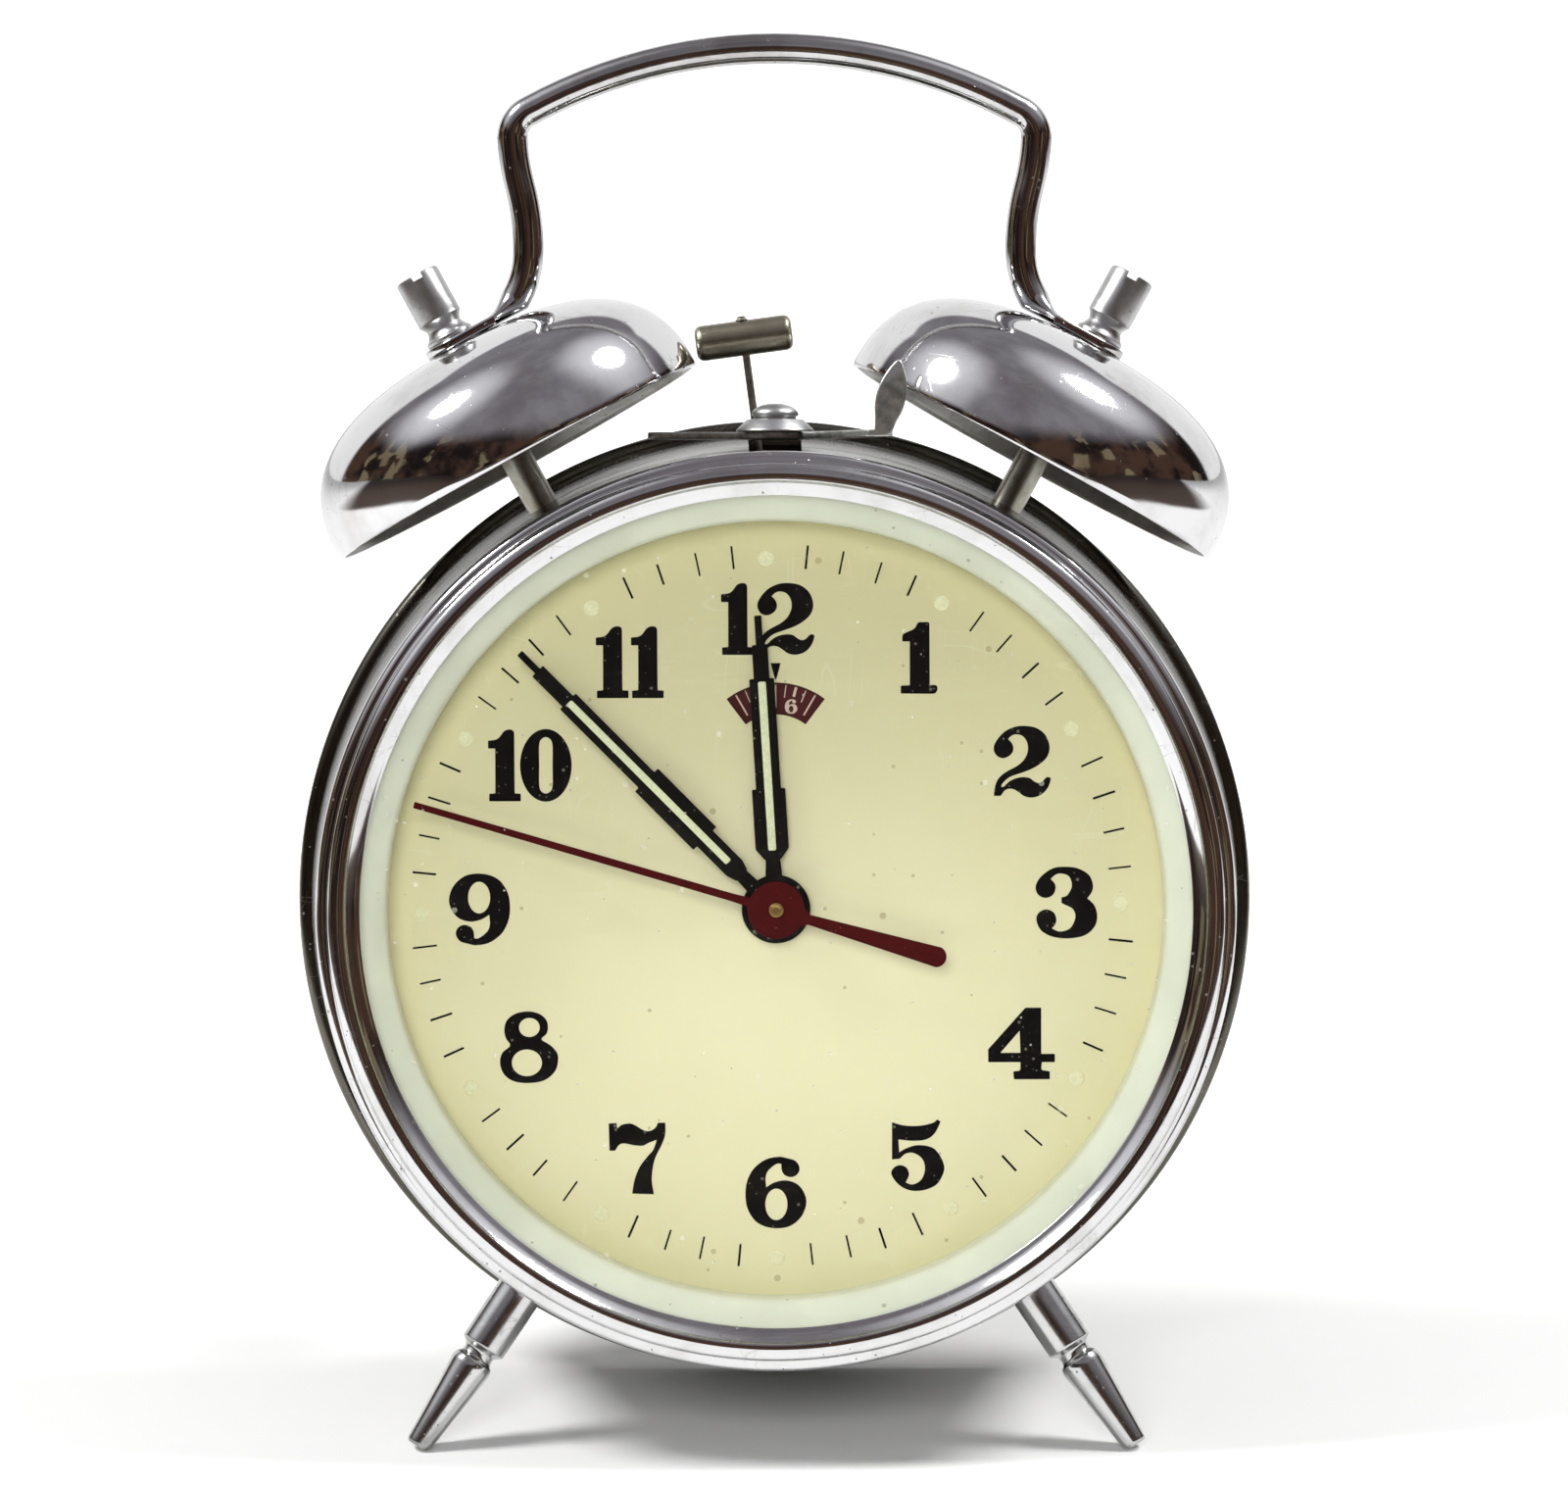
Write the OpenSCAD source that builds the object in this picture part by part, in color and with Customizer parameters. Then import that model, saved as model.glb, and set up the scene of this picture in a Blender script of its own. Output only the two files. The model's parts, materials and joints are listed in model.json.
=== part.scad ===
// Twin-bell wind-up alarm clock. Millimetres, +Z up, front towards -Y.
// Every piece is drawn upright in the clock's own frame: the hands turn about the Y axis, Y = 0 is
// the front of the case opening and Y grows towards the back. seated() then leans the clock back
// until it stands on its two legs and on the rolled bead at the rear of the case.

/* [Case] */
// Outer radius of the drum at its front edge
case_r = 55.4; // [54:0.2:60]
// How much the drum widens towards the back
case_flare = 3.6; // [2:0.2:6]
// Length of the drum from its front edge to the rear bead
case_len = 36; // [34:0.5:44]
// Sheet thickness of the drum
case_t = 0.7; // [0.5:0.1:1]
// Radius of the wire-like rolled bead
bead_r = 1.3; // [1:0.1:1.8]
// Width of the hammer slot in the drum's top
slot_w = 6.5; // [5.5:0.1:8]
// Length of the hammer slot, front to back
slot_len = 19; // [16:0.5:22]

/* [Bezel and glass] */
// Width of the bezel's face, from its opening to the drum
bezel_w = 4.9; // [4.2:0.1:7]
// Width of the rounded front bead of the bezel
bezel_bead_w = 1.8; // [1.2:0.1:2.4]
// Sheet thickness of the bezel
bezel_t = 0.6; // [0.4:0.1:0.8]
// How far the bezel's skirt reaches back over the drum
skirt_len = 3; // [2:0.2:5]
// Thickness of the glass
glass_t = 1.6; // [1:0.1:2]
// Width of the pale ring around the dial
ring_w = 3; // [2.4:0.1:5]

/* [Dial] */
// Depth of the dial's face behind the front of the opening
dial_y = 9.5; // [9:0.1:10.5]
// Thickness of the dial plate
dial_t = 0.6; // [0.4:0.1:0.8]
// Height of the alarm shaft above the centre of the dial
alarm_z = 17.7; // [17.2:0.1:18.4]
// Inner radius of the alarm window
window_r1 = 6.1; // [5:0.1:7]
// Outer radius of the alarm window
window_r2 = 10; // [9:0.1:10.4]
// Opening angle of the alarm window
window_angle = 75; // [50:1:90]

/* [Hands] */
// Length of the hour hand
hour_hand_len = 36; // [28:0.5:38]
// Length of the minute hand
minute_hand_len = 44.3; // [38:0.1:45]
// Gap between the tip of the second hand and the pale ring
second_hand_room = 1.5; // [1:0.1:6]
// Length of the second hand's tail
second_tail_len = 21.6; // [12:0.2:24]
// Angle of the hour hand, clockwise from twelve
hour_hand_angle = -3.5; // [-180:0.5:180]
// Angle of the minute hand, clockwise from twelve
minute_hand_angle = -44.9; // [-180:0.1:180]
// Angle of the second hand, clockwise from twelve
second_hand_angle = -73.7; // [-180:0.1:180]
// Thickness of a hand
hand_t = 0.35; // [0.25:0.05:0.45]

/* [Bells] */
// Radius of a bell at its rim
bell_r = 25.3; // [22:0.1:26]
// Height of a bell
bell_h = 16.3; // [14:0.1:19]
// Wall thickness of a bell
bell_t = 0.8; // [0.6:0.1:1.2]
// Lean of each bell away from the middle
bell_lean = 28.7; // [26:0.1:32]
// Angle from straight up to the centre of a bell's rim
bell_angle = 30.1; // [29.6:0.1:31]
// Height of the centre of a bell's rim above the drum's front edge
bell_lift = 8.05; // [7.8:0.05:9]
// Depth of the bells, the hammer and the handle
bell_y = 22; // [20:0.5:24]
// Diameter of a bell's post
post_d = 4; // [3.4:0.1:5]
// Diameter of the threaded studs of the posts and the legs
stud_d = 2.8; // [2.2:0.1:3]
// Length of the cap nut above its collar
nut_len = 6.1; // [5:0.1:8]
// Diameter of the cap nut
nut_d = 5.7; // [5:0.1:6.5]

/* [Handle] */
// Diameter of the handle's rod
rod_d = 3.9; // [3.2:0.1:4.4]
// Height of the rod's middle above the centres of the bells' rims
handle_rise = 51.4; // [50:0.1:54]
// Radius of the handle's crown
crown_r = 64; // [58:1:72]
// Thickness of the flattened ends
tab_t = 1.2; // [0.8:0.1:1.6]

/* [Hammer] */
// Room that the hammer head leaves between the rims of the bells
strike_room = 7.15; // [7:0.05:9]
// Diameter of the hammer head
head_d = 4.4; // [3.6:0.1:4.8]
// Distance from the hammer's pivot to the middle of its head
hammer_reach = 29.1; // [28:0.1:29.8]
// Depth of the hammer's pivot below the drum's front edge
hammer_drop = 13.8; // [13.4:0.1:14.4]
// Lean of the resting hammer to the left bell
hammer_lean = 7.6; // [6:0.1:7.8]
// Diameter of the hammer's arm
arm_d = 0.95; // [0.8:0.05:1.2]

/* [Stop lever] */
// Thickness of the lever's strip
lever_t = 0.85; // [0.6:0.05:1]
// Length of the lever's left arm
lever_left = 15; // [12:0.5:17]
// Length of the lever's right arm
lever_right = 14.6; // [13:0.1:15.2]
// Width of the lever's strip
lever_w = 5.4; // [4.5:0.1:6]
// Height of the upright finger tab
tab_h = 9.6; // [8:0.1:10.5]
// Distance that the finger tab stands forward of the lever's pivot
tab_reach = 13.4; // [12.8:0.1:13.6]
// Lean of the finger tab to the right
tab_lean = 13; // [8:1:16]
// Depth of the lever's pivot
lever_y = 16; // [15:0.1:16.6]

/* [Legs] */
// Angle of each leg from straight down
leg_angle = 33.8; // [28:0.1:40]
// Distance from the drum's front edge to the end of a leg
leg_len = 24.5; // [21:0.1:28]
// Lean of the legs towards the front
leg_lean = 8; // [4:0.5:10]
// Depth at which a leg meets the drum
leg_y = 11.8; // [10:0.2:14]
// Diameter of a leg at the drum
leg_d = 5.8; // [5:0.1:7]
// Length of a leg's tapered foot
foot_len = 13; // [11:0.1:14]

/* [Back] */
// Thickness of the back cover
cover_t = 0.8; // [0.6:0.1:1.2]
// Width of a winding key across its wings
key_w = 22; // [18:0.5:24]
// Thickness of a winding key's wings
key_t = 1.8; // [1.4:0.1:2.4]
// Diameter of the setting knobs
knob_d = 9; // [8:0.5:10]
// Length of the setting knobs
knob_len = 6; // [5:0.5:8]

/* [Movement] */
// Room between the movement plates and the drum
plate_room = 8.4; // [7.4:0.1:9]
// Thickness of the movement plates
plate_t = 1.3; // [1:0.1:1.5]
// Depth of the front plate's front face
plate_y = 16; // [15.8:0.1:16.4]
// Space between the plates
plate_gap = 16.4; // [16.2:0.1:17]
// Tooth size (module) of the time train's great wheel
great_m = 0.6; // [0.58:0.01:0.61]
// Tooth size of the alarm train's great wheel
alarm_m = 0.55; // [0.53:0.01:0.56]
// Thickness of the fine wheels
wheel_t = 0.8; // [0.6:0.05:0.9]

/* [Hidden] */
$fn = 96;
eps = 0.01;
through = 80;      // longer than the clock is deep, for holes
fit = 0.06;        // running clearance of a shaft in its hole
loose = 0.1;       // clearance of a stud in its hole

// Case
case_y0 = glass_t + 0.9;
case_y1 = case_y0 + case_len;
slope = case_flare / case_len;
function drum_r(y) = case_r + (y - case_y0) * slope;
bead_c = drum_r(case_y1) + 0.35;
bead_y = case_y1 + bead_r;
slot_y0 = 9;
slot_y1 = slot_y0 + slot_len;

// Bezel, glass and ring
opening_r = case_r - bezel_w;
ring_r = opening_r - ring_w;
second_hand_len = ring_r - second_hand_room;
glass_y0 = 0.3;
glass_y1 = glass_y0 + glass_t;
glass_edge = 2;    // how far the glass reaches under the bezel
glass_r = opening_r + glass_edge;
crest_r = bezel_bead_w / 2;
crest_step = 0.8;  // from the bead of the bezel to the drum
crest_c = case_r - crest_step - crest_r;
skirt_round = 1.1; // radius of the bezel's outer edge
skirt_r = case_r + bezel_t + loose + skirt_len * slope;
skirt_y1 = case_y0 + skirt_len - 0.9;
ring_wall = 0.6;
dial_edge = 3.5;   // how far the dial reaches behind its ring
dial_foot_in = 3;  // from the ring to the middle of a dial foot
dial_foot_r = 1;
ring_step_y = case_y0 + 1.9;

// Standing pose
leg_root_r = drum_r(leg_y);
foot_r = 1.6;
foot_flat = 0.35;
leg_end = case_r + leg_len;
foot_c = leg_end - foot_r;
foot_y = leg_y - (foot_c - leg_root_r) * tan(leg_lean);
foot_z = foot_c * cos(leg_angle);
rest_a = bead_y - foot_y;
rest_b = bead_c - foot_z;
rest_c = bead_r - (foot_r - foot_flat);
tilt = asin(-rest_c / norm([rest_a, rest_b])) - atan2(rest_b, rest_a);
ground = foot_y * sin(tilt) + foot_z * cos(tilt) + foot_r - foot_flat;

// Movement layout, seen from the front: [x, z]
plate_r = case_r - plate_room;
plate_y1 = plate_y + plate_t;
rear_y = plate_y1 + plate_gap;
rear_y1 = rear_y + plate_t;
cover_y = case_y1 + bead_r;
centre_teeth = 80;
third_pinion_teeth = 10;
third_teeth = 75;
seconds_pinion_teeth = 10;
seconds_teeth = 60;
escape_pinion_teeth = 10;
great_teeth = 60;
centre_pinion_teeth = 12;
alarm_pinion_teeth = 10;
centre_m = 0.3;
third_gap = centre_m * (centre_teeth + third_pinion_teeth) / 2;
third_m = 2 * third_gap / (third_teeth + seconds_pinion_teeth);
seconds_m = 0.4;
escape_gap = seconds_m * (seconds_teeth + escape_pinion_teeth) / 2;
great_gap = great_m * (great_teeth + centre_pinion_teeth) / 2;
alarm_gap = alarm_m * (great_teeth + alarm_pinion_teeth) / 2;
hour_teeth = 40;
minute_pinion_teeth = 10;
minute_teeth = 36;
cannon_teeth = 12;
hour_m = alarm_z / hour_teeth;
minute_gap = hour_m * (hour_teeth + minute_pinion_teeth) / 2;
minute_m = 2 * minute_gap / (minute_teeth + cannon_teeth);
function polar(r, a) = [r * cos(a), r * sin(a)];
time_at = polar(great_gap, -20);
alarm_drum_x = -27;
alarm_drum_z = 3;
alarm_drum_at = [alarm_drum_x, alarm_drum_z];
third_at = polar(third_gap, -90);
escape_angle = 60;
escape_at = polar(escape_gap, escape_angle);
pallet_gap = 8.6;
balance_gap = 12.2;
pallet_at = escape_at + polar(pallet_gap, 58);
balance_at = pallet_at + polar(balance_gap, 52);
minute_angle = -140;
minute_at = polar(minute_gap, minute_angle);
set_at = polar(2 * minute_gap, minute_angle);
alarm_at = [0, alarm_z];
alarm_pinion_angle = 60;
alarm_escape_at = alarm_drum_at + polar(alarm_gap, alarm_pinion_angle);
hammer_z = case_r - hammer_drop;
hammer_at = [0, hammer_z];
pillar_r = 2.4;
pillar_stud_r = 1.3;
pillar_edge = 4.5; // from the edge of a plate to a pillar's middle
pillar_at = [for (a = [32, 148, -58, -122]) polar(plate_r - pillar_edge, a)];
hex_nut_r = 2.8;
hex_nut_h = 1.6;
screw_r = 1.1;
screw_head_r = 2.2;
screw_head_h = 1;
screw_slot_w = 0.6;
balance_r = 9.5;
balance_rim = 1.5;
regulator_angle = 118;
regulator_len = 16;

// Shafts on the dial's centre, from the inside out
seconds_shaft_r = 0.45;
centre_pipe_r1 = seconds_shaft_r + fit;
centre_pipe_r2 = 0.95;
cannon_r1 = centre_pipe_r2 + fit;
cannon_r2 = 1.4;
hour_pipe_r1 = cannon_r2 + fit;
hour_pipe_r2 = 1.95;
thin_shaft_r = 0.6;
set_shaft_r = 1.2;
hammer_shaft_r = 0.8;
wind_shaft_r = 2.2;

// Depths in front of the dial
hour_hand_y = dial_y - 1.6;
minute_hand_y = hour_hand_y - 1.3;
second_hand_y = minute_hand_y - 1.4;

// Depths between the dial and the front plate
alarm_disc_y = dial_y + dial_t + 0.4;
alarm_disc_t = 0.5;
hour_wheel_y = alarm_disc_y + alarm_disc_t + 0.7;
minute_wheel_y = hour_wheel_y + wheel_t + 0.8;
cannon_teeth_t = 1.2;

// Depths between the plates
centre_wheel_y = plate_y1 + 1;
spring_y = centre_wheel_y + wheel_t + 1.4;
spring_h = 6;
great_y = spring_y + spring_h + 0.5;
great_t = 1.4;
third_wheel_y = great_y + great_t + 1.2;
seconds_wheel_y = third_wheel_y + wheel_t + 0.6;
escape_wheel_y = plate_y1 + 5;
balance_y = third_wheel_y - 1.5;
hammer_y = bell_y + 1;

// Middle of the leaning clock's depth, from the bezel's bead to the end of the rearmost key
bead_front_y = -0.6;
key_y = cover_y + 1.2;
key_hub_len = 8;
wing_r = 5;
key_end = key_y + key_hub_len + 2 * wing_r - 1;
front_end = bead_front_y * cos(tilt) - crest_c * sin(tilt) - crest_r;
back_end = key_end * cos(tilt) + (max(time_at[1], alarm_drum_at[1]) + key_t / 2) * sin(tilt);
middle_y = (front_end + back_end) / 2;

// Bells, hammer and handle
bell_x = (case_r + bell_lift) * sin(bell_angle);
bell_z = (case_r + bell_lift) * cos(bell_angle);
rim_gap = 2 * (bell_x - bell_r * cos(bell_lean));
head_len = rim_gap - strike_room;
handle_half_w = 31.8; // half the width between the bells that the handle's bends are given for
handle_scale = bell_x / handle_half_w;
handle_top = bell_z + handle_rise * handle_scale;
drum_at_bell = drum_r(bell_y);
bell_stud_top = bell_h + tab_t + 6;

module seated() {
    translate([0, -middle_y, ground]) rotate([-tilt, 0, 0]) children();
}

// Revolved about the dial's axis: profile x = radius, profile y = depth
module turned() {
    rotate([-90, 0, 0]) rotate_extrude() children();
}

// Flat shape in the dial's plane (x right, y up), from depth y0 backwards
module slab(y0, t) {
    translate([0, y0 + t, 0]) rotate([90, 0, 0]) linear_extrude(t) children();
}

// Round bar along the depth at [x, z]
module bar(at, r, y0, y1) {
    translate([at[0], y0, at[1]]) rotate([-90, 0, 0]) cylinder(h = y1 - y0, r = r, $fn = 48);
}

function arc(cx, cy, r, a0, a1, n) = [for (i = [0:n]) [cx + r * cos(a0 + (a1 - a0) * i / n),
                                                      cy + r * sin(a0 + (a1 - a0) * i / n)]];

// Flat gear outline: tip, pitch and root widths are shares of the tooth spacing
module gear_outline(teeth, m, phase = 0) {
    step = 360 / teeth;
    r = teeth * m / 2;
    shape = [[-1.2, -0.27], [0, -0.21], [0.75, -0.09], [0.75, 0.09], [0, 0.21], [-1.2, 0.27]];
    polygon([for (i = [0:teeth - 1], p = shape)
        polar(r + p[0] * m, phase + step * (i + p[1]))]);
}

// Spoked wheel with a hub hole
module wheel(teeth, m, phase, hub_r, hole_r, spokes = 4) {
    r = teeth * m / 2;
    rim = r - 1.2 * m - 1.3;
    difference() {
        gear_outline(teeth, m, phase);
        circle(r = hole_r, $fn = 48);
        if (rim > hub_r + 2) difference() {
            circle(r = rim);
            circle(r = hub_r + 0.8);
            for (i = [0:spokes / 2 - 1]) rotate(i * 360 / spokes + 20)
                square([2 * rim, 1.3], center = true);
        }
    }
}

// Phase of a wheel meshing with another one that lies at direction a from it
function meshed(phase_a, na, nb, a) = a + 180 - 180 / nb + (a - phase_a) * na / nb;

module put(at) {
    translate([at[0], 0, at[1]]) children();
}

// ---------------------------------------------------------------- case

module drum_solid(grow = 0) {
    turned() polygon([[0, case_y0], [case_r + grow, case_y0],
                      [drum_r(case_y1) + grow, case_y1], [0, case_y1]]);
}

module case_drum() {
    color("silver") seated() difference() {
        turned() {
            polygon([[case_r - case_t, case_y0], [case_r, case_y0],
                     [drum_r(case_y1), case_y1], [bead_c + 0.2, bead_y],
                     [drum_r(case_y1) - case_t, bead_y], [drum_r(case_y1) - case_t, case_y1]]);
            translate([bead_c, bead_y]) circle(r = bead_r, $fn = 32);
        }
        translate([-slot_w / 2, slot_y0, case_r - 8]) cube([slot_w, slot_len, 20]);
        for (s = [-1, 1]) {
            bell_frame(s) cylinder(h = 40, r = stud_d / 2 + loose, center = true, $fn = 48);
            leg_frame(s) translate([0, 0, -6]) cylinder(h = 12, r = stud_d / 2 + loose, $fn = 48);
        }
        for (s = [-1, 1])
            translate([s * bracket_hole_x, lever_y, case_r - 9])
                cylinder(h = 20, r = bracket_pin_r + loose, $fn = 32);
    }
}

module bezel() {
    color("lightgray") seated() turned() polygon(concat(
        [[opening_r, glass_y0], [opening_r, -0.1],
         [crest_c - crest_r - 0.5, bead_front_y - 0.3], [crest_c - crest_r, bead_front_y]],
        arc(crest_c, bead_front_y, crest_r, 180, 360, 12),
        [[crest_c + crest_r, glass_y0]],
        arc(skirt_r - skirt_round, skirt_round + 0.5, skirt_round, -90, 0, 6),
        [[skirt_r, skirt_y1], [skirt_r - bezel_t, skirt_y1], [skirt_r - bezel_t, glass_y1 - loose],
         [glass_r + loose, glass_y0 + 0.4], [glass_r + loose, glass_y0]]));
}

module glass() {
    color([0.8, 0.9, 0.9, 0.3]) seated() bar([0, 0], glass_r, glass_y0, glass_y1);
}

module dial_ring() {
    color("honeydew") seated() turned() polygon([
        [opening_r + 0.1, glass_y1], [case_r, glass_y1], [case_r, case_y0],
        [opening_r + 0.3, case_y0], [ring_r + ring_wall, ring_step_y],
        [ring_r + ring_wall, dial_y], [ring_r, dial_y], [ring_r, ring_step_y - 0.2]]);
}

module dial_plate() {
    color("cornsilk") seated() {
        difference() {
            bar([0, 0], ring_r + dial_edge, dial_y, dial_y + dial_t);
            bar([0, 0], hour_pipe_r2 + 5 * fit, 0, through);
            slab(0, through) translate(alarm_at) window();
        }
        for (a = [60, 120, -90])
            bar(polar(ring_r - dial_foot_in, a), dial_foot_r, dial_y + dial_t, plate_y);
    }
}

module window() {
    half = window_angle / 2;
    polygon(concat(arc(0, 0, window_r2, 90 - half, 90 + half, 24),
                   arc(0, 0, window_r1, 90 + half, 90 - half, 24)));
}

module alarm_disc() {
    color("maroon") seated() put(alarm_at) difference() {
        bar([0, 0], window_r2 + 0.9, alarm_disc_y, alarm_disc_y + alarm_disc_t);
        bar([0, 0], set_shaft_r, 0, through);
    }
}

// ---------------------------------------------------------------- hands

// Blade as pairs of [distance from centre, half width]
module blade(steps) {
    polygon(concat([for (p = steps) [p[1], p[0]]],
                   [for (i = [len(steps) - 1:-1:0]) [-steps[i][1], steps[i][0]]]));
}

module stepped_hand(len, tip, mid, wide, full, chamfer, neck_w, hub_r, hole_r) {
    difference() {
        union() {
            circle(r = hub_r, $fn = 64);
            blade([[0, neck_w], [chamfer - 1.3, neck_w], [chamfer, full[1]], [full[0], full[1]],
                   [full[0], wide[1]], [wide[0], wide[1]], [wide[0], mid[1]], [mid[0], mid[1]],
                   [mid[0], tip], [len, tip]]);
        }
        circle(r = hole_r, $fn = 48);
    }
}

module hour_hand() {
    color([0.08, 0.08, 0.09]) seated() rotate([0, hour_hand_angle, 0]) {
        slab(hour_hand_y, hand_t) stepped_hand(hour_hand_len, 0.44, [hour_hand_len * 0.9, 0.96],
            [hour_hand_len * 0.785, 1.53], [hour_hand_len * 0.41, 2.04], 7.4, 1.02, 4.2, hour_pipe_r2);
    }
}

module minute_hand() {
    color([0.08, 0.08, 0.09]) seated() rotate([0, minute_hand_angle, 0]) {
        slab(minute_hand_y, hand_t) stepped_hand(minute_hand_len, 0.42,
            [minute_hand_len * 0.93, 0.93], [minute_hand_len * 0.812, 1.38],
            [minute_hand_len * 0.489, 1.98], 7.2, 0.96, 3.4, cannon_r2);
        slab(minute_hand_y, hand_t)
            blade([[minute_hand_len * 0.162, 1.38], [minute_hand_len * 0.3, 1.38]]);
    }
}

module second_hand() {
    color([0.45, 0.08, 0.1]) seated() rotate([0, second_hand_angle, 0]) {
        slab(second_hand_y, hand_t) difference() {
            union() {
                circle(r = 3.5, $fn = 64);
                blade([[-second_tail_len + 1.3, 1.3], [0, 0.45], [second_hand_len, 0.33]]);
                translate([0, -second_tail_len + 1.3]) circle(r = 1.3, $fn = 32);
            }
            circle(r = seconds_shaft_r, $fn = 48);
        }
        turned() polygon([[seconds_shaft_r, second_hand_y - 0.3], [0.88, second_hand_y - 0.3],
                          [0.88, second_hand_y], [seconds_shaft_r, second_hand_y]]);
    }
}

// ---------------------------------------------------------------- bells and handle

// Frame of a bell: origin at the centre of the rim, +Z along its axis
module bell_frame(side) {
    translate([side * bell_x, bell_y, bell_z]) rotate([0, side * bell_lean, 0]) children();
}

// Dome curve from rim to crown
function dome(r, h, n = 18) = [for (i = [0:n])
    let (a = 90 * i / n) [r * pow(cos(a), 0.755) , h * pow(sin(a), 0.755)]];

module bell(side) {
    outer = dome(bell_r, bell_h);
    inner = dome(bell_r - bell_t, bell_h - bell_t);
    hole = stud_d / 2 + loose;
    color("gainsboro") seated() bell_frame(side) difference() {
        rotate_extrude() polygon(concat(
            [for (p = outer) [max(p[0], 0), p[1]]],
            [for (i = [len(inner) - 1:-1:0]) [max(inner[i][0], 0), inner[i][1]]]));
        cylinder(h = 2 * bell_h, r = hole, $fn = 48);
    }
}

module left_bell() {
    bell(-1);
}

module right_bell() {
    bell(1);
}

post_foot_z = -(norm([bell_x, bell_z]) - drum_at_bell) - 1.4;

module bell_post(side) {
    color("darkgray") seated() difference() {
        bell_frame(side) {
            translate([0, 0, post_foot_z])
                cylinder(h = bell_h - bell_t - post_foot_z - 0.05, r = post_d / 2, $fn = 48);
            cylinder(h = bell_stud_top, r = stud_d / 2, $fn = 48);
        }
        drum_solid(0.02);
    }
    color("darkgray") seated() bell_frame(side)
        translate([0, 0, post_foot_z - 5.4]) cylinder(h = 6.6, r = stud_d / 2, $fn = 48);
}

module left_bell_post() {
    bell_post(-1);
}

module right_bell_post() {
    bell_post(1);
}

module bell_nut(side) {
    collar_r = nut_d / 2 + 0.2;
    waist_r = nut_d / 2 - 0.6;
    collar_len = 2.9;
    color("silver") seated() bell_frame(side) translate([0, 0, bell_h + tab_t + 0.1]) difference() {
        rotate_extrude() polygon(concat(
            [[stud_d / 2 + 0.02, 0], [collar_r, 0], [collar_r, 0.6]],
            arc(collar_r + 0.5, 1.7, 1.1, 245, 115, 8),
            [[nut_d / 2, collar_len], [nut_d / 2, collar_len + nut_len - 0.4],
             [nut_d / 2 - 0.4, collar_len + nut_len], [0, collar_len + nut_len],
             [0, bell_stud_top - bell_h - tab_t], [stud_d / 2 + 0.02, bell_stud_top - bell_h - tab_t]]));
        translate([-0.6, -nut_d, collar_len + nut_len - 1.4]) cube([1.2, 2 * nut_d, 2]);
    }
}

module left_bell_nut() {
    bell_nut(-1);
}

module right_bell_nut() {
    bell_nut(1);
}

// Six-sided nuts inside the drum on the posts' studs
module post_nuts() {
    color("goldenrod") seated() for (s = [-1, 1]) bell_frame(s)
        translate([0, 0, post_foot_z - 3]) difference() {
            cylinder(h = 2.2, r = 3.1, $fn = 6);
            translate([0, 0, -1]) cylinder(h = 5, r = stud_d / 2 + 0.02, $fn = 48);
        }
}

// Walk of the rod's middle in the X-Z plane: moves = [radius (+ left, - right), sweep].
// It gives [x, z, heading].
function rod_walk(at, heading, moves, i = 0) = i == len(moves) ? [] :
    let (r = moves[i][0], turn = moves[i][1] * sign(r), c = at + r * [-sin(heading), cos(heading)],
         n = ceil(abs(turn) / 7),
         stretch = [for (k = [1:n]) let (h = heading + turn * k / n)
             [c[0] + r * sin(h), c[1] - r * cos(h), h]])
    concat(stretch, rod_walk([stretch[n - 1][0], stretch[n - 1][1]], heading + turn, moves, i + 1));

// A point of the right bell's frame, in the X-Z plane
function at_bell(x, z) = [bell_x + x * cos(bell_lean) + z * sin(bell_lean),
                          bell_z - x * sin(bell_lean) + z * cos(bell_lean)];

tab_w = 7.4;
tab_len = 6.4;
tab_mid = bell_h + 0.05 + tab_t / 2;
rod_r = rod_d / 2;
// Bends of the rod from its crown outwards: [radius, sweep]
rod_moves = [[-crown_r, 28.6], [-3.7, 64.4], [-28, 12], [30, 16], [12, 30]];
rod_bent = rod_walk([0, handle_top], 0, [for (m = rod_moves) [m[0] * handle_scale, m[1]]]);
rod_half = concat([for (p = rod_bent) [p[0], p[1], p[2], rod_r, rod_r]],
    [for (f = [[-tab_len - 1, rod_r * 0.62, rod_r * 1.3], [-tab_len, tab_t * 0.7, tab_w * 0.42],
               [-tab_len + 1, tab_t * 0.55, tab_w * 0.49], [-tab_len + 2, tab_t * 0.45, tab_w * 0.46]])
        let (p = at_bell(f[0], tab_mid + max(0, f[1] - tab_t / 2)))
        [p[0], p[1], -bell_lean, f[1], f[2]]]);
rod_other_half = [for (i = [len(rod_half) - 1:-1:0])
    let (p = rod_half[i]) [-p[0], p[1], -p[2], p[3], p[4]]];
rod_rings = concat(rod_other_half,
    [[0, handle_top, 0, rod_r, rod_r]], rod_half);
rod_sides = 16;

module rod() {
    points = [for (p = rod_rings, k = [0:rod_sides - 1]) let (a = 360 * k / rod_sides, n = p[3] * cos(a))
        [p[0] - n * sin(p[2]), bell_y + p[4] * sin(a), p[1] + n * cos(p[2])]];
    last = (len(rod_rings) - 1) * rod_sides;
    sides = [for (j = [0:len(rod_rings) - 2], k = [0:rod_sides - 1])
        let (k1 = (k + 1) % rod_sides, o = j * rod_sides)
        [o + k, o + k1, o + rod_sides + k1, o + rod_sides + k]];
    polyhedron(points, concat([[for (k = [rod_sides - 1:-1:0]) k]], sides,
        [[for (k = [0:rod_sides - 1]) last + k]]));
}

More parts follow.
